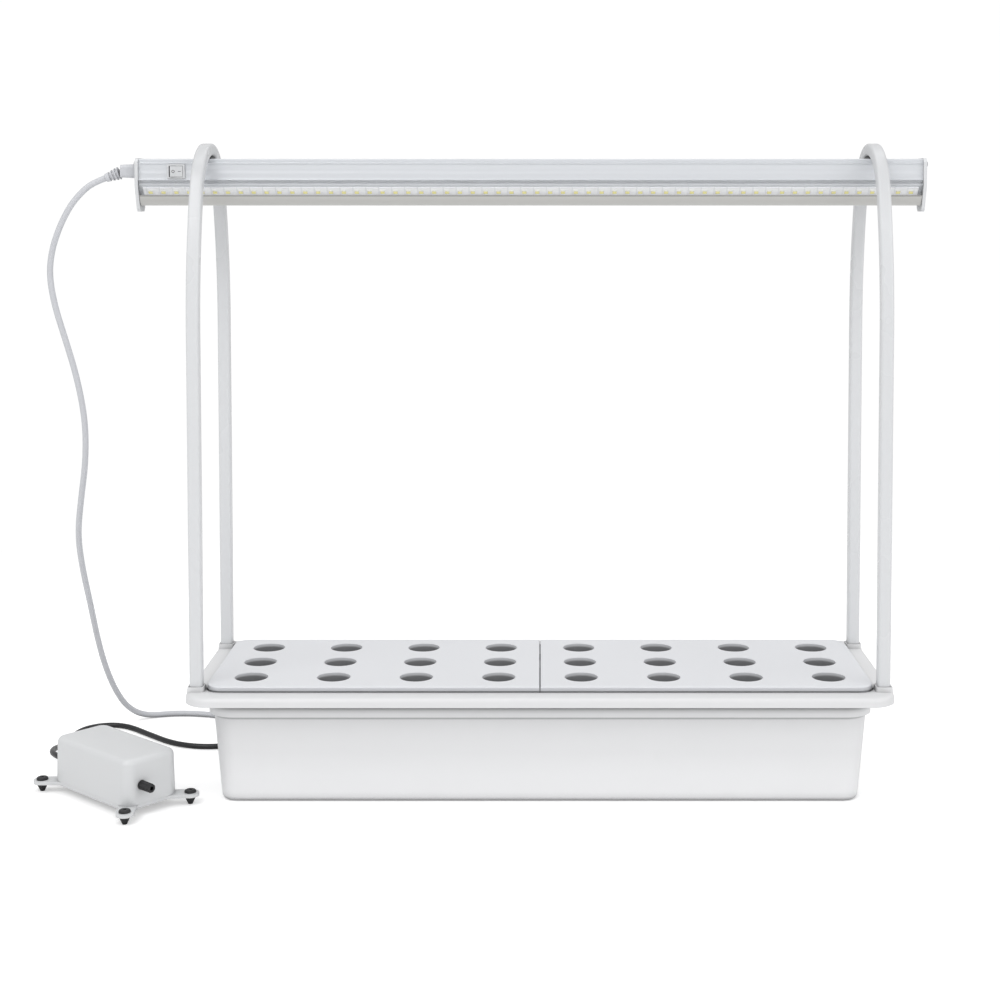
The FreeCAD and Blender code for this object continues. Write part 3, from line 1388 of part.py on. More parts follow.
def cord_edges(points):
    """The runs and arcs of a free cord, and the arcs' radii."""
    share = 0.45
    edges, radii = [], []
    here = points[0]
    for before, corner, after in zip(points, points[1:], points[2:]):
        back, ahead = (before - corner), (after - corner)
        reach = share * min(back.Length, ahead.Length)
        arc, radius = arc_at(corner, back.normalize(), ahead.normalize(), reach)
        edges.append(Part.LineSegment(here, arc.StartPoint).toShape())
        edges.append(arc.toShape())
        radii.append(radius)
        here = arc.EndPoint
    edges.append(Part.LineSegment(here, points[-1]).toShape())
    return edges, radii


def add_tube(label, edges, diameter, radii=()):
    tube = doc.addObject("Part::Feature", label)
    tube.Label = label
    tube.Shape, length = swept(edges, diameter)
    pieces.append(tube)
    area = math.pi * diameter ** 2 / 4
    print("%s: %.0f mm long, volume %.4f of section times length"
          % (label, length, tube.Shape.Volume / area / length))
    if radii:
        print("  arc radii:", " ".join("%.0f" % radius for radius in radii))
    return tube


def coil_edges(x, y, floor, outer, pitch, rise, diameter):
    """A neat coil of half turns about x and y: in along the table, up one layer in
    the half turn where it reverses, and out again on top. It starts and ends level
    with its front side, heading +X."""
    radius = outer
    stops = [(radius, 0)]
    for _ in range(int(mm("coil_turns_in"))):
        radius -= pitch / 2
        stops.append((radius, 0))
    narrow = radius - mm("coil_squeeze")
    stops[-1:] = [(narrow, 0), (narrow, rise)]
    for _ in range(int(mm("coil_turns_out"))):
        radius += pitch / 2
        stops.append((radius, rise))
    spots = [Vector(x, y - r * (-1) ** n, floor + z) for n, (r, z) in enumerate(stops)]
    first = spots[0]
    edges = [Part.LineSegment(first - Vector(diameter, 0, 0), first).toShape()]
    for number, (begin, finish) in enumerate(zip(spots, spots[1:])):
        heading = Vector((-1) ** number, 0, 0)
        reach = (finish - begin).Length / 2
        middle = (begin + finish) / 2 + heading * reach
        for near, far, corner in ((begin, middle, begin + heading * reach),
                                  (middle, finish, finish + heading * reach)):
            arc, _ = arc_at(corner, (near - corner).normalize(), (far - corner).normalize(), reach)
            edges.append(arc.toShape())
    last = spots[-1]
    edges.append(Part.LineSegment(last, last + Vector(mm("coil_tail"), 0, 0)).toShape())
    return edges


def least_gap(edges, diameter):
    """The least clear gap of a coil to itself, measured on points along it."""
    step = 2.0
    points = []
    travelled = 0.0
    for edge in edges:
        count = max(2, int(edge.Length / step))
        for number in range(count):
            along_edge = edge.Length * number / count
            points.append((travelled + along_edge, edge.valueAt(edge.getParameterByLength(along_edge))))
        travelled += edge.Length
    far_enough = 4 * diameter
    least = 1e9
    for number, (place, point) in enumerate(points):
        for other_place, other in points[number + 1:]:
            if other_place - place > far_enough:
                least = min(least, (other - point).Length)
    return least - diameter


LAMP_ROUTE = [
    (-351.6, 0.0, 452.4), (-360.6, 0.0, 441.5), (-368.6, 0.0, 425.8), (-374.8, 0.5, 408.0),
    (-377.2, 1.5, 389.5),
    (-374.0, 3.0, 366.0), (-366.5, 5.5, 339.0), (-359.0, 9.5, 309.0), (-354.8, 16.0, 275.0),
    (-357.0, 24.0, 242.0), (-363.5, 32.5, 210.0), (-369.0, 42.0, 180.0), (-368.5, 53.5, 150.0),
    (-366.0, 66.5, 119.0), (-365.0, 81.5, 89.0), (-363.0, 98.0, 60.0), (-359.0, 115.5, 34.0),
    (-352.5, 132.5, 13.5), (-340.5, 146.5, 2.4), (-317.0, 154.5, 2.4), (-289.0, 152.0, 2.4),
    (-261.0, 140.5, 2.4), (-235.0, 126.0, 2.4),
]

PUMP_ROUTE = [
    (-389.0, 33.0, 9.5), (-388.5, 65.5, 2.2), (-387.4, 105.6, 2.2), (-372.6, 120.2, 2.2),
    (-351.4, 120.2, 2.2), (-324.5, 93.0, 2.2), (-302.0, 71.0, 2.2), (-278.0, 61.0, 2.2),
    (-254.0, 63.5, 2.2), (-230.0, 74.5, 2.2), (-203.0, 84.0, 2.2), (-170.0, 88.6, 2.2),
    (-125.0, 90.2, 2.2),
]


def make_cord(name, leaves, heading, route):
    """A free cord: its run along the route, its coil and its plug."""
    diameter = mm(name + "_cord")
    coil_x, coil_y = name + "_coil_x", name + "_coil_y"
    outer, pitch, rise = (name + "_coil_" + part for part in ("outer", "pitch", "rise"))
    coil_start = Vector(mm(coil_x) - diameter, mm(coil_y) - mm(outer), diameter / 2)
    points = [leaves, leaves + heading * mm(name + "_cord_straight")]
    points += [Vector(*spot) for spot in route]
    points += [coil_start - Vector(mm(name + "_cord_run_in"), 0, 0), coil_start]
    edges, radii = cord_edges(points)
    add_tube(name + "_cord_run", edges, diameter, radii)
    coil = coil_edges(mm(coil_x), mm(coil_y), diameter / 2, mm(outer), mm(pitch), mm(rise), diameter)
    add_tube(name + "_cord_coil", coil, diameter)
    print("  least gap of the coil to itself: %.2f mm" % least_gap(coil, diameter))
    plug_y = "%s - %s - %s/2" % (coil_y, outer, pitch)
    make_mains_plug(name + "_mains_plug", coil_x + " + coil_tail", plug_y,
                    "%s_cord/2 + %s" % (name, rise), name + "_cord")


def make_lamp_cord():
    droop = math.radians(mm("relief_droop"))
    heading = Vector(-math.cos(droop), 0, -math.sin(droop))
    root_x = mm("lamp_shift - lamp_length/2 - connector_length + 2")
    sleeve_root = Vector(root_x, 0, mm(LAMP_TOP + " - plug_drop"))
    make_cord("lamp", sleeve_root + heading * mm("relief_length + 2"), heading, LAMP_ROUTE)


def make_pump_cord():
    angle = math.radians(mm("pump_turn + 180"))
    heading = Vector(math.cos(angle), math.sin(angle), 0)
    rear = Vector(mm(pump_east("-pump_length/2")), mm(pump_north("-pump_length/2")), mm("gland_z"))
    make_cord("pump", rear + heading * mm("gland_length"), heading, PUMP_ROUTE)


def make_mains_plug(label, x, y, half_height, cord):
    """A moulded two-blade plug that lies flat on the table, along +X."""
    plug = new_body(label)
    stand(plug, x, y, half_height)
    profile = new_sketch(plug, "XY_Plane")
    outline(profile, [
        ("0", "0"),
        ("0", "%s/2 + plug_bush" % cord),
        ("plug_relief", "plug_relief_large/2"),
        ("plug_relief + plug_neck", "plug_relief_large/2"),
        ("plug_relief + plug_neck", "0"),
    ])
    revolve(plug, profile, "H_Axis")
    body = new_sketch(plug, "XY_Plane")
    start, end = "plug_relief", "plug_relief + plug_length"
    outline(body, [
        (start, "-plug_relief_large/2"),
        (start + " + plug_shoulder", "-plug_width/2", "plug_shoulder_round", -1),
        (end, "-plug_width/2"),
        (end, "plug_width/2"),
        (start + " + plug_shoulder", "plug_width/2"),
        (start, "plug_relief_large/2", "plug_shoulder_round", -1),
    ])
    extrude(plug, body, "2*(%s)" % half_height, middle=True)
    reach = mm(half_height)
    blend(plug, "plug_edge_round", lambda edge: abs(abs(edge.BoundBox.Center.z) - reach) < 0.01
          and edge.BoundBox.ZLength < 0.01)
    blades = new_sketch(plug, "YZ_Plane", end + " - blade_root")
    for side in ("-", ""):
        rectangle(blades, "blade_thick", "blade_height", "%sblade_spacing/2" % side)
    extrude(plug, blades, "blade_length + blade_root")


make_tub()
make_lid("lid_left", "180")
make_lid("lid_right", "0")
make_arch("arch_left", "-arch_spacing/2")
make_arch("arch_right", "arch_spacing/2")
make_leg_screws()
make_spacers()
make_lamp_screws()
make_housing()
for name, sign in (("front", "-"), ("rear", "")):
    make_board("led_board_" + name, sign)
    make_chips("led_chips_" + name, sign)
make_cover()
make_cap("end_cap_left", "180", True)
make_cap("end_cap_right", "0", False)
make_cap_screws()
make_switch()
make_rocker()
make_driver()
make_inlet()
make_connector()
make_connector_relief()
make_pump_base()
make_pump_cover()
make_pump_feet()
make_pump_screws()
make_nozzle()
make_core()
make_winding()
make_arm()
make_bellows()
make_valve()
make_gland()
make_lamp_cord()
make_pump_cord()

doc.recompute()
for thing in doc.Objects:
    if "Invalid" in thing.State or "Error" in thing.State:
        raise RuntimeError("%s (%s) failed: %s" % (thing.Label, thing.Name, thing.State))
for piece in pieces:
    if piece.Shape.isNull() or not piece.Shape.isValid():
        raise RuntimeError("%s has no valid shape" % piece.Label)
for piece in pieces:
    piece.Shape.exportStep("parts/%s.step" % piece.Label)
print("%d pieces, %d solids" % (len(pieces), sum(len(piece.Shape.Solids) for piece in pieces)))
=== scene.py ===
"""Looks of the countertop hydroponic garden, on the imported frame.

Lengths in the code are in millimetres and are turned into metres where a point or
a size is handed over. Pieces are made in the row frame: +X right, +Y back, +Z up.
"""
import math
from collections import namedtuple

import bmesh
import bpy
from mathutils import Matrix, Vector


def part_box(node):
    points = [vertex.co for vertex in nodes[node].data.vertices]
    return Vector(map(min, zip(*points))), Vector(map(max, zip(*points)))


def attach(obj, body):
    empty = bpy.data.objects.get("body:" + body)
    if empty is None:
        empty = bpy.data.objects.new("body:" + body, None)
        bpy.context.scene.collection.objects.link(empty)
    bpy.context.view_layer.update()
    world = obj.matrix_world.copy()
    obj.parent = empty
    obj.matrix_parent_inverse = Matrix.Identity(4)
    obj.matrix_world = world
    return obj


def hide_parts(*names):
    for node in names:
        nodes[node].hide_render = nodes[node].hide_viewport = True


bl_info = {
    "name": "Hydroponic garden looks",
    "version": (1, 0, 0),
    "blender": (4, 5, 0),
    "location": "3D View > Sidebar > Garden",
    "description": "Camera, light, cords, small parts and finishes for the garden",
    "category": "Object",
}

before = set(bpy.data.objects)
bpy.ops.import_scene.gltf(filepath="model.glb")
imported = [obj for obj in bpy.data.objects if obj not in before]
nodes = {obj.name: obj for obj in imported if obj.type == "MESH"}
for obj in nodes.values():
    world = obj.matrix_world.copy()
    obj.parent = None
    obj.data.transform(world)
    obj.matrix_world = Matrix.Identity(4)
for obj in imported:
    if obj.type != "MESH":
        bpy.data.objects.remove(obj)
MM = 0.001


# Settings


def colour(name, description, value):
    """A setting for a colour."""
    return bpy.props.FloatVectorProperty(
        name=name, description=description, default=value, size=3, subtype="COLOR",
        min=0.0, max=1.0)


def length(name, description, value):
    """A setting for a length, given in millimetres."""
    return bpy.props.FloatProperty(
        name=name, description=description, default=value * MM, min=0.0, unit="LENGTH")


class GardenSettings(bpy.types.PropertyGroup):
    """Sizes and colours that the operators read."""

    camera_distance: length(
        "Camera distance", "How far in front of the tub's middle it stands", 1334)
    camera_height: length("Camera height", "Above the table", 444)
    camera_pitch: bpy.props.FloatProperty(
        name="Camera pitch", description="How far it looks down", default=math.radians(3.0),
        subtype="ANGLE")
    camera_lens: bpy.props.FloatProperty(
        name="Focal length", description="In millimetres on a 36 mm sensor", default=62.6,
        min=10.0, subtype="DISTANCE_CAMERA")
    camera_shift: bpy.props.FloatVectorProperty(
        name="Lens shift", description="Sideways and upwards, as a share of the frame",
        default=(-0.04, -0.2052), size=2)
    rim_white: colour("Tub", "Tub and rim plastic", (0.775, 0.778, 0.788))
    # Painted shade inside the tub: how bright its inside is beside the outside
    hollow_painted_shade: bpy.props.FloatProperty(
        name="Inside of the tub", description="How bright it is beside the outside", default=0.3,
        min=0.0, max=1.0)
    # Painted shade inside the lids' planting holes
    hole_painted_shade: bpy.props.FloatProperty(
        name="Inside of the holes", description="How bright it is beside the lid", default=0.4,
        min=0.0, max=1.0)
    lid_white: colour("Lid", "Planting lid plastic", (0.755, 0.765, 0.792))
    arch_white: colour("Arches", "Arch plastic", (0.70, 0.71, 0.725))
    pump_white: colour("Pump", "Pump cover plastic", (0.69, 0.70, 0.71))
    cord_white: colour("Lamp cord", "Jacket of the lamp's cord", (0.60, 0.61, 0.64))
    cord_black: colour("Pump cord", "Jacket of the pump's cord", (0.012, 0.012, 0.014))
    lamp_grey: colour("Lamp bar", "Satin anodised metal", (0.71, 0.73, 0.76))
    cover_tint: colour(
        "Cover's foot", "Frosted strip along the bottom of the cover", (0.58, 0.575, 0.555))
    phosphor: colour("LEDs", "Yellow lens of each LED", (0.90, 0.84, 0.36))
    board_white: colour("LED boards", "Solder mask of the LED boards", (0.90, 0.91, 0.93))
    rubber: colour("Rubber", "Feet, nozzle and cord relief", (0.018, 0.018, 0.020))
    led_count: bpy.props.IntProperty(
        name="LEDs per board", description="Number in each row", default=60, min=1)
    led_pitch: length("LED pitch", "Middle to middle along the bar", 9.8)
    bar_middle: bpy.props.FloatProperty(
        name="Middle of the bar", description="Along the garden", default=-7 * MM, unit="LENGTH")
    lamp_cord_size: length("Lamp cord", "Diameter", 4.8)
    pump_cord_size: length("Pump cord", "Diameter", 4.4)


# Node helpers


class Wiring:
    """Builds a node tree: each call adds a node, sets its inputs and links them."""

    def __init__(self, tree):
        self.tree = tree
        self.count = 0

    def add(self, kind, settings=None, **inputs):
        made = self.tree.nodes.new(kind)
        made.location = (self.count * 190, -(self.count % 4) * 150)
        self.count += 1
        for name, value in (settings or {}).items():
            setattr(made, name, value)
        for name, value in inputs.items():
            self.put(made, name.replace("_", " "), value)
        return made

    def put(self, made, name, value):
        """Feed a node's first input of that name."""
        socket = next((s for s in made.inputs if s.name == name and s.enabled), None)
        if socket is None:
            raise RuntimeError("%s has no input %s" % (made.bl_idname, name))
        self.feed(socket, value)

    def feed(self, socket, value):
        """Link an output to an input, or set the input's own value."""
        if isinstance(value, bpy.types.NodeSocket):
            self.tree.links.new(value, socket)
        else:
            socket.default_value = value

    def feed_all(self, made, values):
        for socket, value in zip(made.inputs, values):
            self.feed(socket, value)
        return made

    def math(self, operation, *values, clamp=False):
        settings = {"operation": operation, "use_clamp": clamp}
        return self.feed_all(self.add("ShaderNodeMath", settings), values).outputs["Value"]

    def vector(self, operation, *values):
        return self.feed_all(self.add("ShaderNodeVectorMath", {"operation": operation}), values)

    def mix(self, amount, first, second):
        """Mix two shaders, or add them where no amount is given."""
        if amount is None:
            return self.feed_all(self.add("ShaderNodeAddShader"), (first, second)).outputs["Shader"]
        mixed = self.feed_all(self.add("ShaderNodeMixShader"), (amount, first, second))
        return mixed.outputs["Shader"]


def new_group(name, kind, inputs, outputs):
    """An empty node group with its sockets, its wiring, and its two end nodes."""
    tree = bpy.data.node_groups.new(name, kind)
    for label, socket_type, value in inputs:
        socket = tree.interface.new_socket(label, in_out="INPUT", socket_type=socket_type)
        if value is not None:
            socket.default_value = value
    for label, socket_type in outputs:
        tree.interface.new_socket(label, in_out="OUTPUT", socket_type=socket_type)
    wiring = Wiring(tree)
    return wiring, wiring.add("NodeGroupInput"), wiring.add("NodeGroupOutput")


def grain_group():
    """Moulded plastic's faint grain: how much rougher a spot is, and its height."""
    if "Moulded grain" in bpy.data.node_groups:
        return bpy.data.node_groups["Moulded grain"]
    w, given, result = new_group(
        "Moulded grain", "ShaderNodeTree",
        [("Vector", "NodeSocketVector", None), ("Fine Scale", "NodeSocketFloat", 900.0),
         ("Broad Scale", "NodeSocketFloat", 9.0)],
        [("Roughness", "NodeSocketFloat"), ("Height", "NodeSocketFloat"),
         ("Tone", "NodeSocketFloat")])
    fine = w.add("ShaderNodeTexNoise", Vector=given.outputs["Vector"],
                 Scale=given.outputs["Fine Scale"], Detail=2.0)
    broad = w.add("ShaderNodeTexNoise", Vector=given.outputs["Vector"],
                  Scale=given.outputs["Broad Scale"], Detail=4.0)
    rough = w.add("ShaderNodeMapRange", Value=broad.outputs["Fac"],
                  From_Min=0.3, From_Max=0.7, To_Min=-0.05, To_Max=0.05)
    tone = w.add("ShaderNodeMapRange", Value=broad.outputs["Fac"],
                 From_Min=0.3, From_Max=0.7, To_Min=0.985, To_Max=1.0)
    w.put(result, "Roughness", rough.outputs["Result"])
    w.put(result, "Height", fine.outputs["Fac"])
    w.put(result, "Tone", tone.outputs["Result"])
    return w.tree


def streak_group():
    """Fine drawn lines along the object's X, as on an extruded bar."""
    if "Drawn streaks" in bpy.data.node_groups:
        return bpy.data.node_groups["Drawn streaks"]
    w, given, result = new_group(
        "Drawn streaks", "ShaderNodeTree",
        [("Vector", "NodeSocketVector", None), ("Scale", "NodeSocketFloat", 1500.0)],
        [("Roughness", "NodeSocketFloat"), ("Height", "NodeSocketFloat")])
    squeezed = w.add("ShaderNodeMapping", Vector=given.outputs["Vector"], Scale=(0.004, 1.0, 1.0))
    lines = w.add("ShaderNodeTexNoise", Vector=squeezed.outputs["Vector"],
                  Scale=given.outputs["Scale"], Detail=3.0)
    rough = w.add("ShaderNodeMapRange", Value=lines.outputs["Fac"],
                  From_Min=0.3, From_Max=0.7, To_Min=-0.08, To_Max=0.08)
    w.put(result, "Roughness", rough.outputs["Result"])
    w.put(result, "Height", lines.outputs["Fac"])
    return w.tree


def hollow_group():
    """Marks faces that look inward, towards the upright axis through the origin."""
    if "Inward faces" in bpy.data.node_groups:
        return bpy.data.node_groups["Inward faces"]
    w, given, result = new_group(
        "Inward faces", "ShaderNodeTree",
        [("Vector", "NodeSocketVector", None), ("Normal", "NodeSocketVector", None)],
        [("Fac", "NodeSocketFloat")])
    level = w.vector("MULTIPLY", given.outputs["Vector"], (1, 1, 0)).outputs["Vector"]
    facing = w.vector("DOT_PRODUCT", level, given.outputs["Normal"]).outputs["Value"]
    inward = w.add("ShaderNodeMapRange", Value=facing, From_Min=-4 * MM, From_Max=-8 * MM)
    w.put(result, "Fac", inward.outputs["Result"])
    return w.tree


# The lids' planting holes: the middle of one of them and the pitch, along and across
HOLE_GRID = {"X": (31.0, 62.0), "Y": (0.0, 43.4)}
HOLE_REACH = 13.2


def hole_group():
    """Marks what lies close round a planting hole's axis, in the lids' grid of holes."""
    if "Planting holes" in bpy.data.node_groups:
        return bpy.data.node_groups["Planting holes"]
    w, given, result = new_group(
        "Planting holes", "ShaderNodeTree",
        [("Vector", "NodeSocketVector", None), ("Reach", "NodeSocketFloat", HOLE_REACH * MM)],
        [("Fac", "NodeSocketFloat")])
    split = w.add("ShaderNodeSeparateXYZ", Vector=given.outputs["Vector"])
    offsets = {}
    for axis, (middle, pitch) in HOLE_GRID.items():
        wrapped = w.math("WRAP", split.outputs[axis], (middle + pitch / 2) * MM,
                         (middle - pitch / 2) * MM)
        offsets[axis] = w.math("SUBTRACT", wrapped, middle * MM)
    offset = w.add("ShaderNodeCombineXYZ", **offsets).outputs["Vector"]
    away = w.vector("LENGTH", offset).outputs["Value"]
    w.put(result, "Fac", w.math("LESS_THAN", away, given.outputs["Reach"]))
    return w.tree


def scale_colour(tree, factor):
    """Multiply the colour of a material's surface by a factor from its own nodes."""
    shader = next(node for node in tree.nodes if node.type == "BSDF_PRINCIPLED")
    before = shader.inputs["Base Color"].links[0].from_socket
    scaled = Wiring(tree).add("ShaderNodeVectorMath", {"operation": "SCALE"}, Vector=before,
                              Scale=factor)
    tree.links.new(scaled.outputs["Vector"], shader.inputs["Base Color"])


# Heights in millimetres with a brightness painted into the colour there: painted shadows on
# the tub's wall under its rim and under its skirt's step, with the wall painted lighter lower
# down, painted shade on the lids' edges and on the arches' crowns, and on the frosted foot of
# the lamp's cover a painted shade line along its top, with its bottom painted lighter
SKIRT_PAINTED_SHADING = (
    (0.0, 1.14), (20.0, 1.10), (38.0, 1.03), (60.0, 1.03), (63.4, 1.04), (64.4, 0.68),
    (65.8, 0.68), (66.3, 1.12), (69.0, 1.10), (71.0, 0.88), (72.3, 0.55), (73.3, 0.28),
    (77.3, 0.28), (77.6, 0.97),
)
LID_EDGE_PAINTED_SHADE = ((84.0, 0.78), (86.0, 0.84), (87.7, 0.90), (88.0, 1.0))
ARCH_CROWN_PAINTED_SHADE = ((430.0, 1.0), (478.0, 0.88))
COVER_FOOT_PAINTED_SHADE = (
    (442.0, 1.15), (443.72, 1.0), (446.73, 0.94), (449.224, 1.0), (449.568, 0.58), (450.6, 0.58),
)


def height_ramp(w, height, shades, tint=(1, 1, 1)):
    """A tint that grows brighter or darker with height."""
    foot, head = shades[0][0], shades[-1][0]
    along = w.add("ShaderNodeMapRange", Value=height, From_Min=foot * MM, From_Max=head * MM)
    ramp = w.add("ShaderNodeValToRGB", Fac=along.outputs["Result"])
    stops = ramp.color_ramp.elements
    for _ in shades[2:]:
        stops.new(0.5)
    for stop, (height_here, shade) in zip(stops, shades):
        stop.position = (height_here - foot) / (head - foot)
        stop.color = (*(shade * part for part in tint), 1.0)
    return ramp.outputs["Color"]


def paint_shade_by_height(tree, shades):
    """Paint light and shade into a material's colour: scale it by a brightness given at some
    heights.
    """
    w = Wiring(tree)
    place = w.add("ShaderNodeTexCoord")
    split = w.add("ShaderNodeSeparateXYZ", Vector=place.outputs["Object"])
    scale_colour(tree, height_ramp(w, split.outputs["Z"], shades))


def new_material(name):
    """An empty material, its wiring, and the Object coordinates in it."""
    material = bpy.data.materials.new(name)
    material.use_nodes = True
    material.node_tree.nodes.clear()
    w = Wiring(material.node_tree)
    place = w.add("ShaderNodeTexCoord").outputs["Object"]
    return material, w, place


def surface(w, shader):
    w.add("ShaderNodeOutputMaterial", Surface=shader)


# How far round a spot the plastic is looked at to paint shade into its creases
CREASE_SHADE_REACH = 10.0


def moulded(name, tint, roughness=0.34, edge=0.35, bump=0.04, fine=900.0, painted_crease_shade=0.62,
            painted_glow=0.0):
    """Moulded plastic or rubber: grain, a softened edge, painted shade in creases, and a painted
    glow if one is given.
    """
    material, w, place = new_material(name)
    grain = w.add("ShaderNodeGroup", {"node_tree": grain_group()}, Vector=place, Fine_Scale=fine)
    # Ambient occlusion paints shade into creases, corners and gaps between parts
    open_sky = w.add("ShaderNodeAmbientOcclusion", {"samples": 6}, Distance=CREASE_SHADE_REACH * MM)
    painted_crease_factor = w.add("ShaderNodeMapRange", Value=open_sky.outputs["AO"], From_Min=0.15,
                    From_Max=0.85, To_Min=1 - painted_crease_shade, To_Max=1.0)
    tone = w.math("MULTIPLY", grain.outputs["Tone"], painted_crease_factor.outputs["Result"])
    toned = w.add("ShaderNodeVectorMath", {"operation": "SCALE"}, Vector=tuple(tint), Scale=tone)
    edges = w.add("ShaderNodeBevel", {"samples": 4}, Radius=edge * MM)
    relief = w.add("ShaderNodeBump", Strength=bump, Distance=0.0001,
                   Height=grain.outputs["Height"], Normal=edges.outputs["Normal"])
    # The emission is a painted glow of the plastic's own colour
    shader = w.add("ShaderNodeBsdfPrincipled", Base_Color=toned.outputs["Vector"],
                   Roughness=w.math("ADD", roughness, grain.outputs["Roughness"]),
                   Normal=relief.outputs["Normal"], Emission_Color=toned.outputs["Vector"],
                   Emission_Strength=painted_glow)
    surface(w, shader.outputs["BSDF"])
    return material


# The wave texture's scale that sets the bar's low ribs about 6 mm apart
RIB_SCALE = 51.5


def drawn_metal(name, tint, roughness=0.36, metallic=0.75, ribs=0.0):
    """Extruded or rolled metal with fine lines along the bar, and low ribs if wanted."""
    material, w, place = new_material(name)
    lines = w.add("ShaderNodeGroup", {"node_tree": streak_group()}, Vector=place)
    edges = w.add("ShaderNodeBevel", {"samples": 4}, Radius=0.25 * MM)
    wave = w.add("ShaderNodeTexWave", {"bands_direction": "Z"}, Vector=place, Scale=RIB_SCALE)
    ribbed = w.add("ShaderNodeBump", Strength=1.0 if ribs else 0.0, Distance=ribs * MM,
                   Height=wave.outputs["Fac"], Normal=edges.outputs["Normal"])
    relief = w.add("ShaderNodeBump", Strength=0.05, Distance=0.0001,
                   Height=lines.outputs["Height"], Normal=ribbed.outputs["Normal"])
    shader = w.add("ShaderNodeBsdfPrincipled", Base_Color=(*tint, 1.0), Metallic=metallic,
                   Roughness=w.math("ADD", roughness, lines.outputs["Roughness"]),
                   Normal=relief.outputs["Normal"])
    surface(w, shader.outputs["BSDF"])
    return material


CLEAR_ABOVE = 450.7
FROSTED_BELOW = 450.3


def clear_cover(name, tint):
    """Clear plastic with a faint gloss that turns frosted along its foot."""
    material, w, place = new_material(name)
    split = w.add("ShaderNodeSeparateXYZ", Vector=place)
    foot = w.add("ShaderNodeMapRange", Value=split.outputs["Z"],
                 From_Min=CLEAR_ABOVE * MM, From_Max=FROSTED_BELOW * MM, To_Max=0.92)
    # The frosted foot's tint, with painted shade along it
    strip = height_ramp(w, split.outputs["Z"], COVER_FOOT_PAINTED_SHADE, tint)
    passing = w.add("ShaderNodeBsdfTransparent", Color=(0.985, 0.985, 0.985, 1.0))
    gloss = w.add("ShaderNodeBsdfGlossy", Color=(0.9, 0.9, 0.9, 1.0), Roughness=0.12)
    glance = w.add("ShaderNodeFresnel", IOR=1.18)
    clear = w.mix(glance.outputs["Fac"], passing.outputs["BSDF"], gloss.outputs["BSDF"])
    frost = w.add("ShaderNodeBsdfPrincipled", Base_Color=strip, Roughness=0.35)
    path = w.add("ShaderNodeLightPath")
    seen = w.add("ShaderNodeMapRange", Value=path.outputs["Is Camera Ray"], To_Min=0.3, To_Max=1.0)
    amount = w.math("MULTIPLY", foot.outputs["Result"], seen.outputs["Result"])
    surface(w, w.mix(amount, clear, frost.outputs["BSDF"]))
    return material


# Where the track begins and is full, measured from an LED's middle
TRACK_EDGE = (4.2, 4.6)


def led_board(name, tint, pitch):
    """White solder mask with a faint copper track under it between the LEDs, and a faint painted
    glow.
    """
    material, w, place = new_material(name)
    split = w.add("ShaderNodeSeparateXYZ", Vector=place)
    track = w.add("ShaderNodeMapRange", Value=w.math("PINGPONG", split.outputs["X"], pitch / 2),
                  From_Min=TRACK_EDGE[0] * MM, From_Max=TRACK_EDGE[1] * MM, To_Min=1.0,
                  To_Max=0.9)
    toned = w.add("ShaderNodeVectorMath", {"operation": "SCALE"}, Vector=tuple(tint),
                  Scale=track.outputs["Result"])
    # The emission is a painted glow
    shader = w.add("ShaderNodeBsdfPrincipled", Base_Color=toned.outputs["Vector"], Roughness=0.3,
                   Emission_Color=toned.outputs["Vector"], Emission_Strength=0.15)
    surface(w, shader.outputs["BSDF"])
    return material


def smoothing_group():
    """Welds a CAD node's facets and shades it smooth between its sharp edges."""
    if "Smooth by angle" in bpy.data.node_groups:
        return bpy.data.node_groups["Smooth by angle"]
    w, given, result = new_group(
        "Smooth by angle", "GeometryNodeTree",
        [("Geometry", "NodeSocketGeometry", None), ("Angle", "NodeSocketFloat", math.radians(28))],
        [("Geometry", "NodeSocketGeometry")])
    w.tree.is_modifier = True
    plain = w.add("GeometryNodeRemoveAttribute", Geometry=given.outputs["Geometry"],
                  Name="custom_normal")
    welded = w.add("GeometryNodeMergeByDistance", Geometry=plain.outputs["Geometry"], Distance=2e-6)
    faces = w.add("GeometryNodeSetShadeSmooth", {"domain": "FACE"},
                  Geometry=welded.outputs["Geometry"], Shade_Smooth=True)
    angle = w.add("GeometryNodeInputMeshEdgeAngle")
    sharp = w.add("FunctionNodeCompare", {"data_type": "FLOAT", "operation": "GREATER_THAN"})
    w.tree.links.new(angle.outputs["Unsigned Angle"], sharp.inputs["A"])
    w.tree.links.new(given.outputs["Angle"], sharp.inputs["B"])
    edges = w.add("GeometryNodeSetShadeSmooth", {"domain": "EDGE"},
                  Geometry=faces.outputs["Geometry"], Selection=sharp.outputs["Result"],
                  Shade_Smooth=False)
    w.put(result, "Geometry", edges.outputs["Geometry"])
    return w.tree


def finish_node(name, material):
    """Give a CAD node its finish and smooth shading."""
    obj = nodes[name]
    obj.data.materials.clear()
    obj.data.materials.append(material)
    modifier = obj.modifiers.new("Smooth by angle", "NODES")
    modifier.node_group = smoothing_group()


def add_piece(name, mesh, body, material, smooth=True):
    """A finished mesh as an object at the origin that rides on a body."""
    obj = bpy.data.objects.new(name, mesh)
    bpy.context.scene.collection.objects.link(obj)
    mesh.materials.clear()
    mesh.materials.append(material)
    for polygon in mesh.polygons:
        polygon.use_smooth = smooth
    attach(obj, body)
    return obj


# Camera and stage

# How bright the floor and the surroundings are to the camera: just past white
WHITE = 1.02
LIGHT_AIM = (0, 0, 0.15)


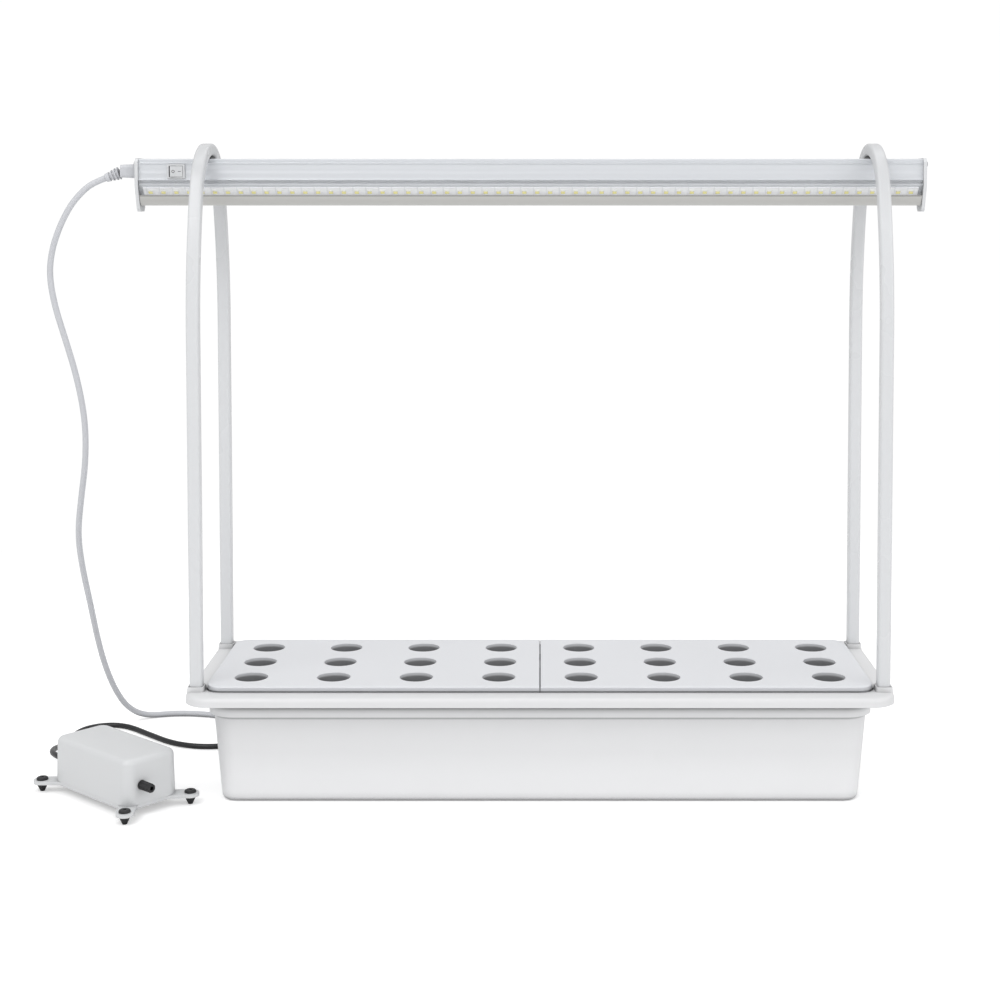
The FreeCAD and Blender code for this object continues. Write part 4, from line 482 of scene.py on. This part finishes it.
class GARDEN_OT_camera(bpy.types.Operator):
    """Place the camera as the photo was taken"""

    bl_idname = "garden.camera"
    bl_label = "Camera"

    def execute(self, context):
        s = context.scene.garden
        data = bpy.data.cameras.new("camera")
        camera = bpy.data.objects.new("camera", data)
        context.scene.collection.objects.link(camera)
        camera.location = (0, -s.camera_distance, s.camera_height)
        camera.rotation_euler = (math.radians(90) - s.camera_pitch, 0, 0)
        data.sensor_width = 36
        data.lens = s.camera_lens
        data.shift_x, data.shift_y = s.camera_shift
        data.dof.use_dof = False
        context.scene.camera = camera
        return {"FINISHED"}


class GARDEN_OT_stage(bpy.types.Operator):
    """Add the pale floor, the white surroundings and soft lights"""

    bl_idname = "garden.stage"
    bl_label = "Stage"

    def execute(self, context):
        scene = context.scene
        scene.view_settings.view_transform = "Standard"
        mesh = bpy.data.meshes.new("floor")
        build = bmesh.new()
        bmesh.ops.create_grid(build, x_segments=1, y_segments=1, size=6)
        build.to_mesh(mesh)
        build.free()
        floor = bpy.data.objects.new("floor", mesh)
        scene.collection.objects.link(floor)
        mesh.materials.append(self.floor_material())
        scene.world = self.surroundings()
        for name, place, size, power in (
                ("key_light", (-1.1, -1.7, 2.3), 1.7, 26),
                ("fill_light", (1.9, -1.6, 1.3), 1.8, 14),
                ("top_light", (0.2, 0.5, 2.4), 1.6, 9)):
            data = bpy.data.lights.new(name, "AREA")
            data.shape, data.size, data.energy = "SQUARE", size, power
            light = bpy.data.objects.new(name, data)
            scene.collection.objects.link(light)
            light.location = place
            aim = Vector(LIGHT_AIM) - Vector(place)
            light.rotation_euler = aim.to_track_quat("-Z", "Y").to_euler()
        return {"FINISHED"}

    def floor_material(self):
        """Matte with a lift for the camera, fading to the white of the surroundings."""
        material, w, place = new_material("Floor")
        path = w.add("ShaderNodeLightPath")
        matte = w.add("ShaderNodeBsdfDiffuse", Color=(0.90, 0.90, 0.90, 1.0))
        lift = w.add("ShaderNodeEmission", Color=(1, 1, 1, 1), Strength=0.36)
        lifted = w.mix(None, matte.outputs["BSDF"], lift.outputs["Emission"])
        away = w.vector("LENGTH", place).outputs["Value"]
        fade = w.add("ShaderNodeMapRange", Value=away, From_Min=0.5, From_Max=1.1)
        white = w.add("ShaderNodeEmission", Color=(1, 1, 1, 1), Strength=WHITE)
        faded = w.mix(fade.outputs["Result"], lifted, white.outputs["Emission"])
        surface(w, w.mix(path.outputs["Is Camera Ray"], matte.outputs["BSDF"], faded))
        return material

    def surroundings(self):
        """A soft pale sky that the camera sees as white."""
        world = bpy.data.worlds.new("Surroundings")
        world.use_nodes = True
        world.node_tree.nodes.clear()
        w = Wiring(world.node_tree)
        path = w.add("ShaderNodeLightPath")
        shown = w.add("ShaderNodeMapRange", Value=path.outputs["Is Camera Ray"], To_Min=0.66,
                      To_Max=WHITE)
        sky = w.add("ShaderNodeBackground", Color=(1, 1, 1, 1), Strength=shown.outputs["Result"])
        w.add("ShaderNodeOutputWorld", Surface=sky.outputs["Background"])
        return world


# Cords: one curve each from its relief to its plug, coil included

Coil = namedtuple("Coil", "x y outer pitch rise squeeze tail run_in")
LAMP_COIL = Coil(x=-185, y=150, outer=32.2, pitch=6.0, rise=5.4, squeeze=0.9, tail=12, run_in=24)
PUMP_COIL = Coil(x=-45, y=121.5, outer=31.5, pitch=5.5, rise=5.0, squeeze=0.9, tail=12, run_in=34)

# Where the connector ends, how far its relief reaches, and how far the cord runs straight
LAMP_SOCKET = (-318, 0, 468.8)
LAMP_DROOP = math.radians(20)
LAMP_RELIEF = 15
LAMP_STRAIGHT = 11

# The pump's middle and turn, and the same for its cord, which leaves its rear end
PUMP_MIDDLE = (-318, -52, 14)
PUMP_TURN = math.radians(-42)
PUMP_HALF = 48
PUMP_RELIEF = 20
PUMP_STRAIGHT = 17

LAMP_ROUTE = [
    (-351.6, 0.0, 452.4), (-360.6, 0.0, 441.5), (-368.6, 0.0, 425.8), (-374.8, 0.5, 408.0),
    (-377.2, 1.5, 389.5), (-374.0, 3.0, 366.0), (-366.5, 5.5, 339.0), (-359.0, 9.5, 309.0),
    (-354.8, 16.0, 275.0), (-357.0, 24.0, 242.0), (-363.5, 32.5, 210.0), (-369.0, 42.0, 180.0),
    (-368.5, 53.5, 150.0), (-366.0, 66.5, 119.0), (-365.0, 81.5, 89.0), (-363.0, 98.0, 60.0),
    (-359.0, 115.5, 34.0), (-352.5, 132.5, 13.5), (-340.5, 146.5, 2.4), (-317.0, 154.5, 2.4),
    (-289.0, 152.0, 2.4), (-261.0, 140.5, 2.4), (-235.0, 126.0, 2.4),
]
PUMP_ROUTE = [
    (-389.0, 33.0, 9.5), (-388.5, 65.5, 2.2), (-387.4, 105.6, 2.2), (-372.6, 120.2, 2.2),
    (-351.4, 120.2, 2.2), (-324.5, 93.0, 2.2), (-302.0, 71.0, 2.2), (-278.0, 61.0, 2.2),
    (-254.0, 63.5, 2.2), (-230.0, 74.5, 2.2), (-203.0, 84.0, 2.2), (-170.0, 88.6, 2.2),
    (-125.0, 90.2, 2.2),
]


def coil_corners(coil, cord):
    """Corners round the coil's half turns: in along the table, up a layer, out on top."""
    turns_in, turns_out = 4, 5
    half_pitch = coil.pitch / 2
    inner = coil.outer - half_pitch * turns_in
    stops = [(coil.outer - half_pitch * n, 0) for n in range(turns_in)]
    stops += [(inner - coil.squeeze, 0), (inner - coil.squeeze, coil.rise)]
    stops += [(inner + half_pitch * n, coil.rise) for n in range(1, turns_out + 1)]
    spots = [Vector((coil.x, coil.y - radius * (-1) ** number, cord / 2 + height))
             for number, (radius, height) in enumerate(stops)]
    corners = [spots[0] - Vector((cord, 0, 0))]
    for number, (begin, finish) in enumerate(zip(spots, spots[1:])):
        reach = Vector(((-1) ** number, 0, 0)) * (finish - begin).length / 2
        corners += [begin + reach, finish + reach]
    corners += [spots[-1] + Vector((coil.tail / 2, 0, 0)), spots[-1] + Vector((coil.tail, 0, 0))]
    return corners


def cord_points(leaves, heading, straight, route, coil, cord):
    """Straight out of the relief, along the route, and round the coil."""
    turns = coil_corners(coil, cord)
    run_in = turns[0] - Vector((coil.run_in, 0, 0))
    return [leaves, leaves + heading * straight, *route, run_in, *turns]


def add_cord(name, points, diameter, material, replaced):
    """A round curve through the points, which stands for the cord's CAD nodes."""
    curve = bpy.data.curves.new(name, "CURVE")
    curve.dimensions = "3D"
    curve.bevel_depth = diameter / 2
    curve.bevel_resolution = 4
    curve.use_fill_caps = True
    curve.resolution_u = 8
    spline = curve.splines.new("NURBS")
    spline.points.add(len(points) - 1)
    for spot, point in zip(spline.points, points):
        spot.co = (*(Vector(point) * MM), 1.0)
    spline.order_u = 3
    spline.use_endpoint_u = True
    curve.materials.append(material)
    obj = bpy.data.objects.new(name, curve)
    bpy.context.scene.collection.objects.link(obj)
    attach(obj, "garden")
    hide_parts(*replaced)
    return obj


class GARDEN_OT_cords(bpy.types.Operator):
    """Lay the lamp's white cord and the pump's black cord"""

    bl_idname = "garden.cords"
    bl_label = "Cords"

    def execute(self, context):
        s = context.scene.garden
        heading = Vector((-math.cos(LAMP_DROOP), 0, -math.sin(LAMP_DROOP)))
        leaves = Vector(LAMP_SOCKET) + heading * LAMP_RELIEF
        points = cord_points(leaves, heading, LAMP_STRAIGHT, LAMP_ROUTE, LAMP_COIL,
                             s.lamp_cord_size / MM)
        white = moulded("White jacket", s.cord_white, 0.4, edge=0.1)
        add_cord("lamp_cord", points, s.lamp_cord_size, white,
                 ("lamp_cord_run", "lamp_cord_coil"))
        for name in ("lamp_mains_plug", "lamp_connector", "lamp_cord_relief"):
            finish_node(name, white)

        heading = Vector((-math.cos(PUMP_TURN), -math.sin(PUMP_TURN), 0))
        leaves = Vector(PUMP_MIDDLE) + heading * (PUMP_HALF + PUMP_RELIEF)
        points = cord_points(leaves, heading, PUMP_STRAIGHT, PUMP_ROUTE, PUMP_COIL,
                             s.pump_cord_size / MM)
        black = moulded("Black jacket", s.cord_black, 0.38, edge=0.1)
        add_cord("pump_cord", points, s.pump_cord_size, black,
                 ("pump_cord_run", "pump_cord_coil"))
        finish_node("pump_mains_plug", black)
        return {"FINISHED"}


# Tub, lids and arches

# Heights between which the painted shade inside the tub fades out, and depths below a lid's
# top between which the painted shade in its holes sets in
HOLLOW_FULL = 60
HOLLOW_END = 70
HOLE_LIGHT = 1.6
HOLE_DARK = 2.8


class GARDEN_OT_tub(bpy.types.Operator):
    """Finish the tub, the two lid halves and the arches"""

    bl_idname = "garden.tub"
    bl_label = "Tub, lids and arches"

    def execute(self, context):
        s = context.scene.garden
        tub = moulded("Tub plastic", s.rim_white, 0.36)
        # Painted shade inside the tub, below the lids
        self.paint_hollow_shade(tub.node_tree, s.hollow_painted_shade)
        # Painted shadows under the rim and the skirt's step, and the wall painted lighter lower
        # down
        paint_shade_by_height(tub.node_tree, SKIRT_PAINTED_SHADING)
        finish_node("reservoir_tub", tub)
        lid = moulded("Lid plastic", s.lid_white, 0.38, painted_crease_shade=0.45)
        # Painted shade inside the planting holes
        self.paint_hole_shade(lid.node_tree, s.hole_painted_shade)
        # Painted shade along the lids' edges, darker lower down
        paint_shade_by_height(lid.node_tree, LID_EDGE_PAINTED_SHADE)
        for name in ("lid_left", "lid_right"):
            finish_node(name, lid)
        arch = moulded("Arch plastic", s.arch_white, 0.28)
        # Painted shade on the arches, darker towards their crowns
        paint_shade_by_height(arch.node_tree, ARCH_CROWN_PAINTED_SHADE)
        for name in ("arch_left", "arch_right"):
            finish_node(name, arch)
        return {"FINISHED"}

    def paint_hollow_shade(self, tree, shade):
        """Paint shade on the walls and floor inside the tub, below the lids, by scaling their
        colour.
        """
        w = Wiring(tree)
        place = w.add("ShaderNodeTexCoord")
        inward = w.add("ShaderNodeGroup", {"node_tree": hollow_group()},
                       Vector=place.outputs["Object"], Normal=place.outputs["Normal"])
        split = w.add("ShaderNodeSeparateXYZ", Vector=place.outputs["Object"])
        up = w.add("ShaderNodeSeparateXYZ", Vector=place.outputs["Normal"])
        below_lids = w.add("ShaderNodeMapRange", Value=split.outputs["Z"],
                           From_Min=HOLLOW_FULL * MM, From_Max=HOLLOW_END * MM, To_Min=1.0,
                           To_Max=0.0)
        either = w.math("MAXIMUM", inward.outputs["Fac"], up.outputs["Z"], clamp=True)
        inside = w.math("MULTIPLY", either, below_lids.outputs["Result"])
        kept = w.add("ShaderNodeMapRange", Value=inside, To_Min=1.0, To_Max=shade)
        scale_colour(tree, kept.outputs["Result"])

    def paint_hole_shade(self, tree, shade):
        """Paint shade on the collars' insides, below the lid's upper edge, by scaling their colour.
        """
        w = Wiring(tree)
        place = w.add("ShaderNodeTexCoord")
        near = w.add("ShaderNodeGroup", {"node_tree": hole_group()}, Vector=place.outputs["Object"])
        split = w.add("ShaderNodeSeparateXYZ", Vector=place.outputs["Object"])
        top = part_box("lid_left")[1].z
        below = w.add("ShaderNodeMapRange", Value=split.outputs["Z"],
                      From_Min=top - HOLE_LIGHT * MM, From_Max=top - HOLE_DARK * MM)
        deep = w.math("MULTIPLY", near.outputs["Fac"], below.outputs["Result"])
        kept = w.add("ShaderNodeMapRange", Value=deep, To_Min=1.0, To_Max=shade)
        scale_colour(tree, kept.outputs["Result"])


# Lamp


class GARDEN_OT_lamp(bpy.types.Operator):
    """Finish the lamp bar, its boards, caps, cover and driver"""

    bl_idname = "garden.lamp"
    bl_label = "Lamp"

    def execute(self, context):
        s = context.scene.garden
        metal = drawn_metal("Anodised bar", s.lamp_grey, metallic=0.3, ribs=0.3)
        finish_node("lamp_housing", metal)
        board = led_board("LED board", s.board_white, s.led_pitch)
        # The LED cases get a painted glow
        case = moulded("LED case", (0.88, 0.87, 0.78), 0.3, edge=0.1, painted_crease_shade=0.2, painted_glow=0.12)
        for side in ("front", "rear"):
            finish_node("led_board_" + side, board)
            finish_node("led_chips_" + side, case)
        finish_node("lamp_cover", clear_cover("Clear cover", s.cover_tint))
        cap = moulded("Cap plastic", s.arch_white, 0.42)
        for name in ("end_cap_left", "end_cap_right", "lamp_inlet"):
            finish_node(name, cap)
        finish_node("driver_board", moulded("Green mask", (0.03, 0.16, 0.06)))
        finish_node("driver_parts", moulded("Component black", (0.02, 0.02, 0.02)))
        return {"FINISHED"}


def lens_tree(count, pitch, size):
    """A row of small rounded lenses along X, laid on the boards' slope."""
    w, given, result = new_group(
        "LED lens row", "GeometryNodeTree",
        [("Count", "NodeSocketInt", count), ("Pitch", "NodeSocketFloat", pitch),
         ("Size", "NodeSocketVector", size), ("Middle", "NodeSocketVector", None),
         ("Slope", "NodeSocketFloat", 0.0), ("Material", "NodeSocketMaterial", None)],
        [("Geometry", "NodeSocketGeometry")])
    w.tree.is_modifier = True
    gaps = w.math("SUBTRACT", given.outputs["Count"], 1.0)
    reach = w.math("MULTIPLY", gaps, given.outputs["Pitch"])
    shift = w.add("ShaderNodeCombineXYZ", X=w.math("MULTIPLY", reach, -0.5))
    start = w.vector("ADD", given.outputs["Middle"], shift.outputs["Vector"])
    step = w.add("ShaderNodeCombineXYZ", X=given.outputs["Pitch"])
    row = w.add("GeometryNodeMeshLine", {"mode": "OFFSET"}, Count=given.outputs["Count"],
                Start_Location=start.outputs["Vector"], Offset=step.outputs["Vector"])
    lens = w.add("GeometryNodeMeshCube", Size=given.outputs["Size"],
                 Vertices_X=3, Vertices_Y=3, Vertices_Z=2)
    soft = w.add("GeometryNodeSubdivisionSurface", Mesh=lens.outputs["Mesh"], Level=2)
    tilt = w.add("ShaderNodeCombineXYZ", X=given.outputs["Slope"])
    turned = w.add("FunctionNodeEulerToRotation", Euler=tilt.outputs["Vector"])
    placed = w.add("GeometryNodeInstanceOnPoints", Points=row.outputs["Mesh"],
                   Instance=soft.outputs["Mesh"], Rotation=turned.outputs["Rotation"])
    real = w.add("GeometryNodeRealizeInstances", Geometry=placed.outputs["Instances"])
    painted = w.add("GeometryNodeSetMaterial", Geometry=real.outputs["Geometry"],
                    Material=given.outputs["Material"])
    w.put(result, "Geometry", painted.outputs["Geometry"])
    return w.tree


LENS_SIZE = Vector((3.3, 2.6, 0.5))
LENS_OUT = 9.30
LENS_HEIGHT = 452.40
LENS_SLOPE = math.radians(135)


class GARDEN_OT_leds(bpy.types.Operator):
    """Put a yellow lens on each LED"""

    bl_idname = "garden.leds"
    bl_label = "LED lenses"

    def execute(self, context):
        s = context.scene.garden
        # The LED lenses get a painted glow
        yellow = moulded("Phosphor", s.phosphor, 0.25, edge=0.05, painted_crease_shade=0.1, painted_glow=0.3)
        tree = lens_tree(s.led_count, s.led_pitch, LENS_SIZE * MM)
        sockets = {item.name: item.identifier for item in tree.interface.items_tree
                   if item.in_out == "INPUT"}
        for side, sign in (("front", -1), ("rear", 1)):
            blank = bpy.data.objects.new("lens_maker", bpy.data.meshes.new("lens_maker"))
            context.scene.collection.objects.link(blank)
            maker = blank.modifiers.new("Lenses", "NODES")
            maker.node_group = tree
            lo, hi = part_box("led_chips_" + side)
            face = Vector((s.bar_middle, sign * LENS_OUT * MM, LENS_HEIGHT * MM))
            maker[sockets["Count"]] = s.led_count
            maker[sockets["Pitch"]] = s.led_pitch
            maker[sockets["Middle"]] = face
            maker[sockets["Slope"]] = -sign * LENS_SLOPE
            maker[sockets["Material"]] = yellow
            depsgraph = context.evaluated_depsgraph_get()
            mesh = bpy.data.meshes.new_from_object(blank.evaluated_get(depsgraph))
            bpy.data.objects.remove(blank)
            if not mesh.polygons or not lo.z < face.z < hi.z:
                raise RuntimeError("the LED lenses don't sit on their chips")
            add_piece("led_lenses_" + side, mesh, "garden", yellow)
        return {"FINISHED"}


# Switch: its pivot, how far the rocker leans at rest, and its two printed marks

SWITCH_PIVOT = Vector((-275.9, -10.7, 468.35))
ROCKER_LEAN = math.radians(7)
MARK_OUT = 2.35
MARK_FACE = -4.10
MARK_LEAN = math.radians(6)
RING_SIDES = 32
RING_RADII = (0.75, 1.15)
BAR_HALF = (1.1, 0.2)


class GARDEN_OT_switch(bpy.types.Operator):
    """Finish the rocker switch and print its on and off marks"""

    bl_idname = "garden.switch"
    bl_label = "Switch"

    def execute(self, context):
        s = context.scene.garden
        plastic = moulded("Switch plastic", s.arch_white, 0.3, edge=0.2)
        for name in ("switch_body", "switch_rocker"):
            finish_node(name, plastic)
        ink = moulded("Mark ink", (0.10, 0.10, 0.11), 0.5, edge=0.02)
        ring = bmesh.new()
        inner, outer = (self.circle(ring, radius) for radius in RING_RADII)
        for number in range(RING_SIDES):
            after = (number + 1) % RING_SIDES
            ring.faces.new((inner[number], inner[after], outer[after], outer[number]))
        self.print_mark(ring, -1, "off_mark", ink)
        bar = bmesh.new()
        long, high = BAR_HALF
        bar.faces.new([bar.verts.new((x * MM, 0, z * MM)) for x, z in
                       ((-long, -high), (long, -high), (long, high), (-long, high))])
        self.print_mark(bar, 1, "on_mark", ink)
        return {"FINISHED"}

    def circle(self, build, radius):
        """Points round a circle that stands upright."""
        angles = [2 * math.pi * n / RING_SIDES for n in range(RING_SIDES)]
        return [build.verts.new((radius * MM * math.cos(a), 0, radius * MM * math.sin(a)))
                for a in angles]

    def print_mark(self, build, side, name, ink):
        """Lay a mark on the rocker's left or right half, where it rides along."""
        rocker = Matrix.Translation(SWITCH_PIVOT * MM) @ Matrix.Rotation(ROCKER_LEAN, 4, "Z")
        place = Matrix.Translation((side * MARK_OUT * MM, MARK_FACE * MM, 0))
        build.transform(rocker @ place @ Matrix.Rotation(-side * MARK_LEAN, 4, "Z"))
        mesh = bpy.data.meshes.new(name)
        build.to_mesh(mesh)
        build.free()
        add_piece(name, mesh, "rocker", ink, smooth=False)


# Pump and small hardware


class GARDEN_OT_pump(bpy.types.Operator):
    """Finish the air pump, inside and out"""

    bl_idname = "garden.pump"
    bl_label = "Air pump"

    def execute(self, context):
        s = context.scene.garden
        white = moulded("Pump plastic", s.pump_white, 0.33)
        for name in ("pump_cover", "pump_base"):
            finish_node(name, white)
        rubber = moulded("Rubber", s.rubber, 0.5, bump=0.12, fine=1400.0)
        for name in ("pump_feet", "pump_nozzle", "pump_bellows", "pump_cord_relief",
                     "lamp_spacers"):
            finish_node(name, rubber)
        iron = drawn_metal("Laminated iron", (0.30, 0.30, 0.31), 0.45, 1.0)
        for name in ("pump_core", "pump_arm"):
            finish_node(name, iron)
        copper = drawn_metal("Enamelled copper", (0.62, 0.26, 0.10), 0.3, 1.0)
        finish_node("pump_winding", copper)
        finish_node("pump_magnet", moulded("Magnet", (0.05, 0.05, 0.055), 0.3))
        valve = moulded("Valve block", (0.03, 0.03, 0.03), 0.4)
        finish_node("pump_valve_block", valve)
        return {"FINISHED"}


class GARDEN_OT_hardware(bpy.types.Operator):
    """Finish the screws and pins"""

    bl_idname = "garden.hardware"
    bl_label = "Screws"

    def execute(self, context):
        steel = drawn_metal("Zinc plate", (0.60, 0.60, 0.62), 0.32, 1.0)
        for name in ("leg_screws", "lamp_screws", "cap_screws", "pump_screws", "pump_arm_pin"):
            finish_node(name, steel)
        return {"FINISHED"}


STEPS = (GARDEN_OT_camera, GARDEN_OT_cords, GARDEN_OT_stage, GARDEN_OT_tub, GARDEN_OT_lamp,
         GARDEN_OT_leds, GARDEN_OT_switch, GARDEN_OT_pump, GARDEN_OT_hardware)


class GARDEN_PT_panel(bpy.types.Panel):
    """Settings and steps in the 3D view's sidebar"""

    bl_idname = "GARDEN_PT_panel"
    bl_label = "Hydroponic garden"
    bl_space_type = "VIEW_3D"
    bl_region_type = "UI"
    bl_category = "Garden"

    def draw(self, context):
        for name in GardenSettings.__annotations__:
            self.layout.prop(context.scene.garden, name)
        for step in STEPS:
            self.layout.operator(step.bl_idname)


CLASSES = (GardenSettings, *STEPS, GARDEN_PT_panel)


def register():
    for cls in CLASSES:
        bpy.utils.register_class(cls)
    bpy.types.Scene.garden = bpy.props.PointerProperty(type=GardenSettings)


def unregister():
    del bpy.types.Scene.garden
    for cls in reversed(CLASSES):
        bpy.utils.unregister_class(cls)


def main():
    register()
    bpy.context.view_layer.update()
    for step in STEPS:
        group, name = step.bl_idname.split(".")
        if getattr(getattr(bpy.ops, group), name)() != {"FINISHED"}:
            raise RuntimeError("%s didn't finish" % step.bl_idname)
    bpy.context.view_layer.update()


if __name__ == "__main__":
    main()
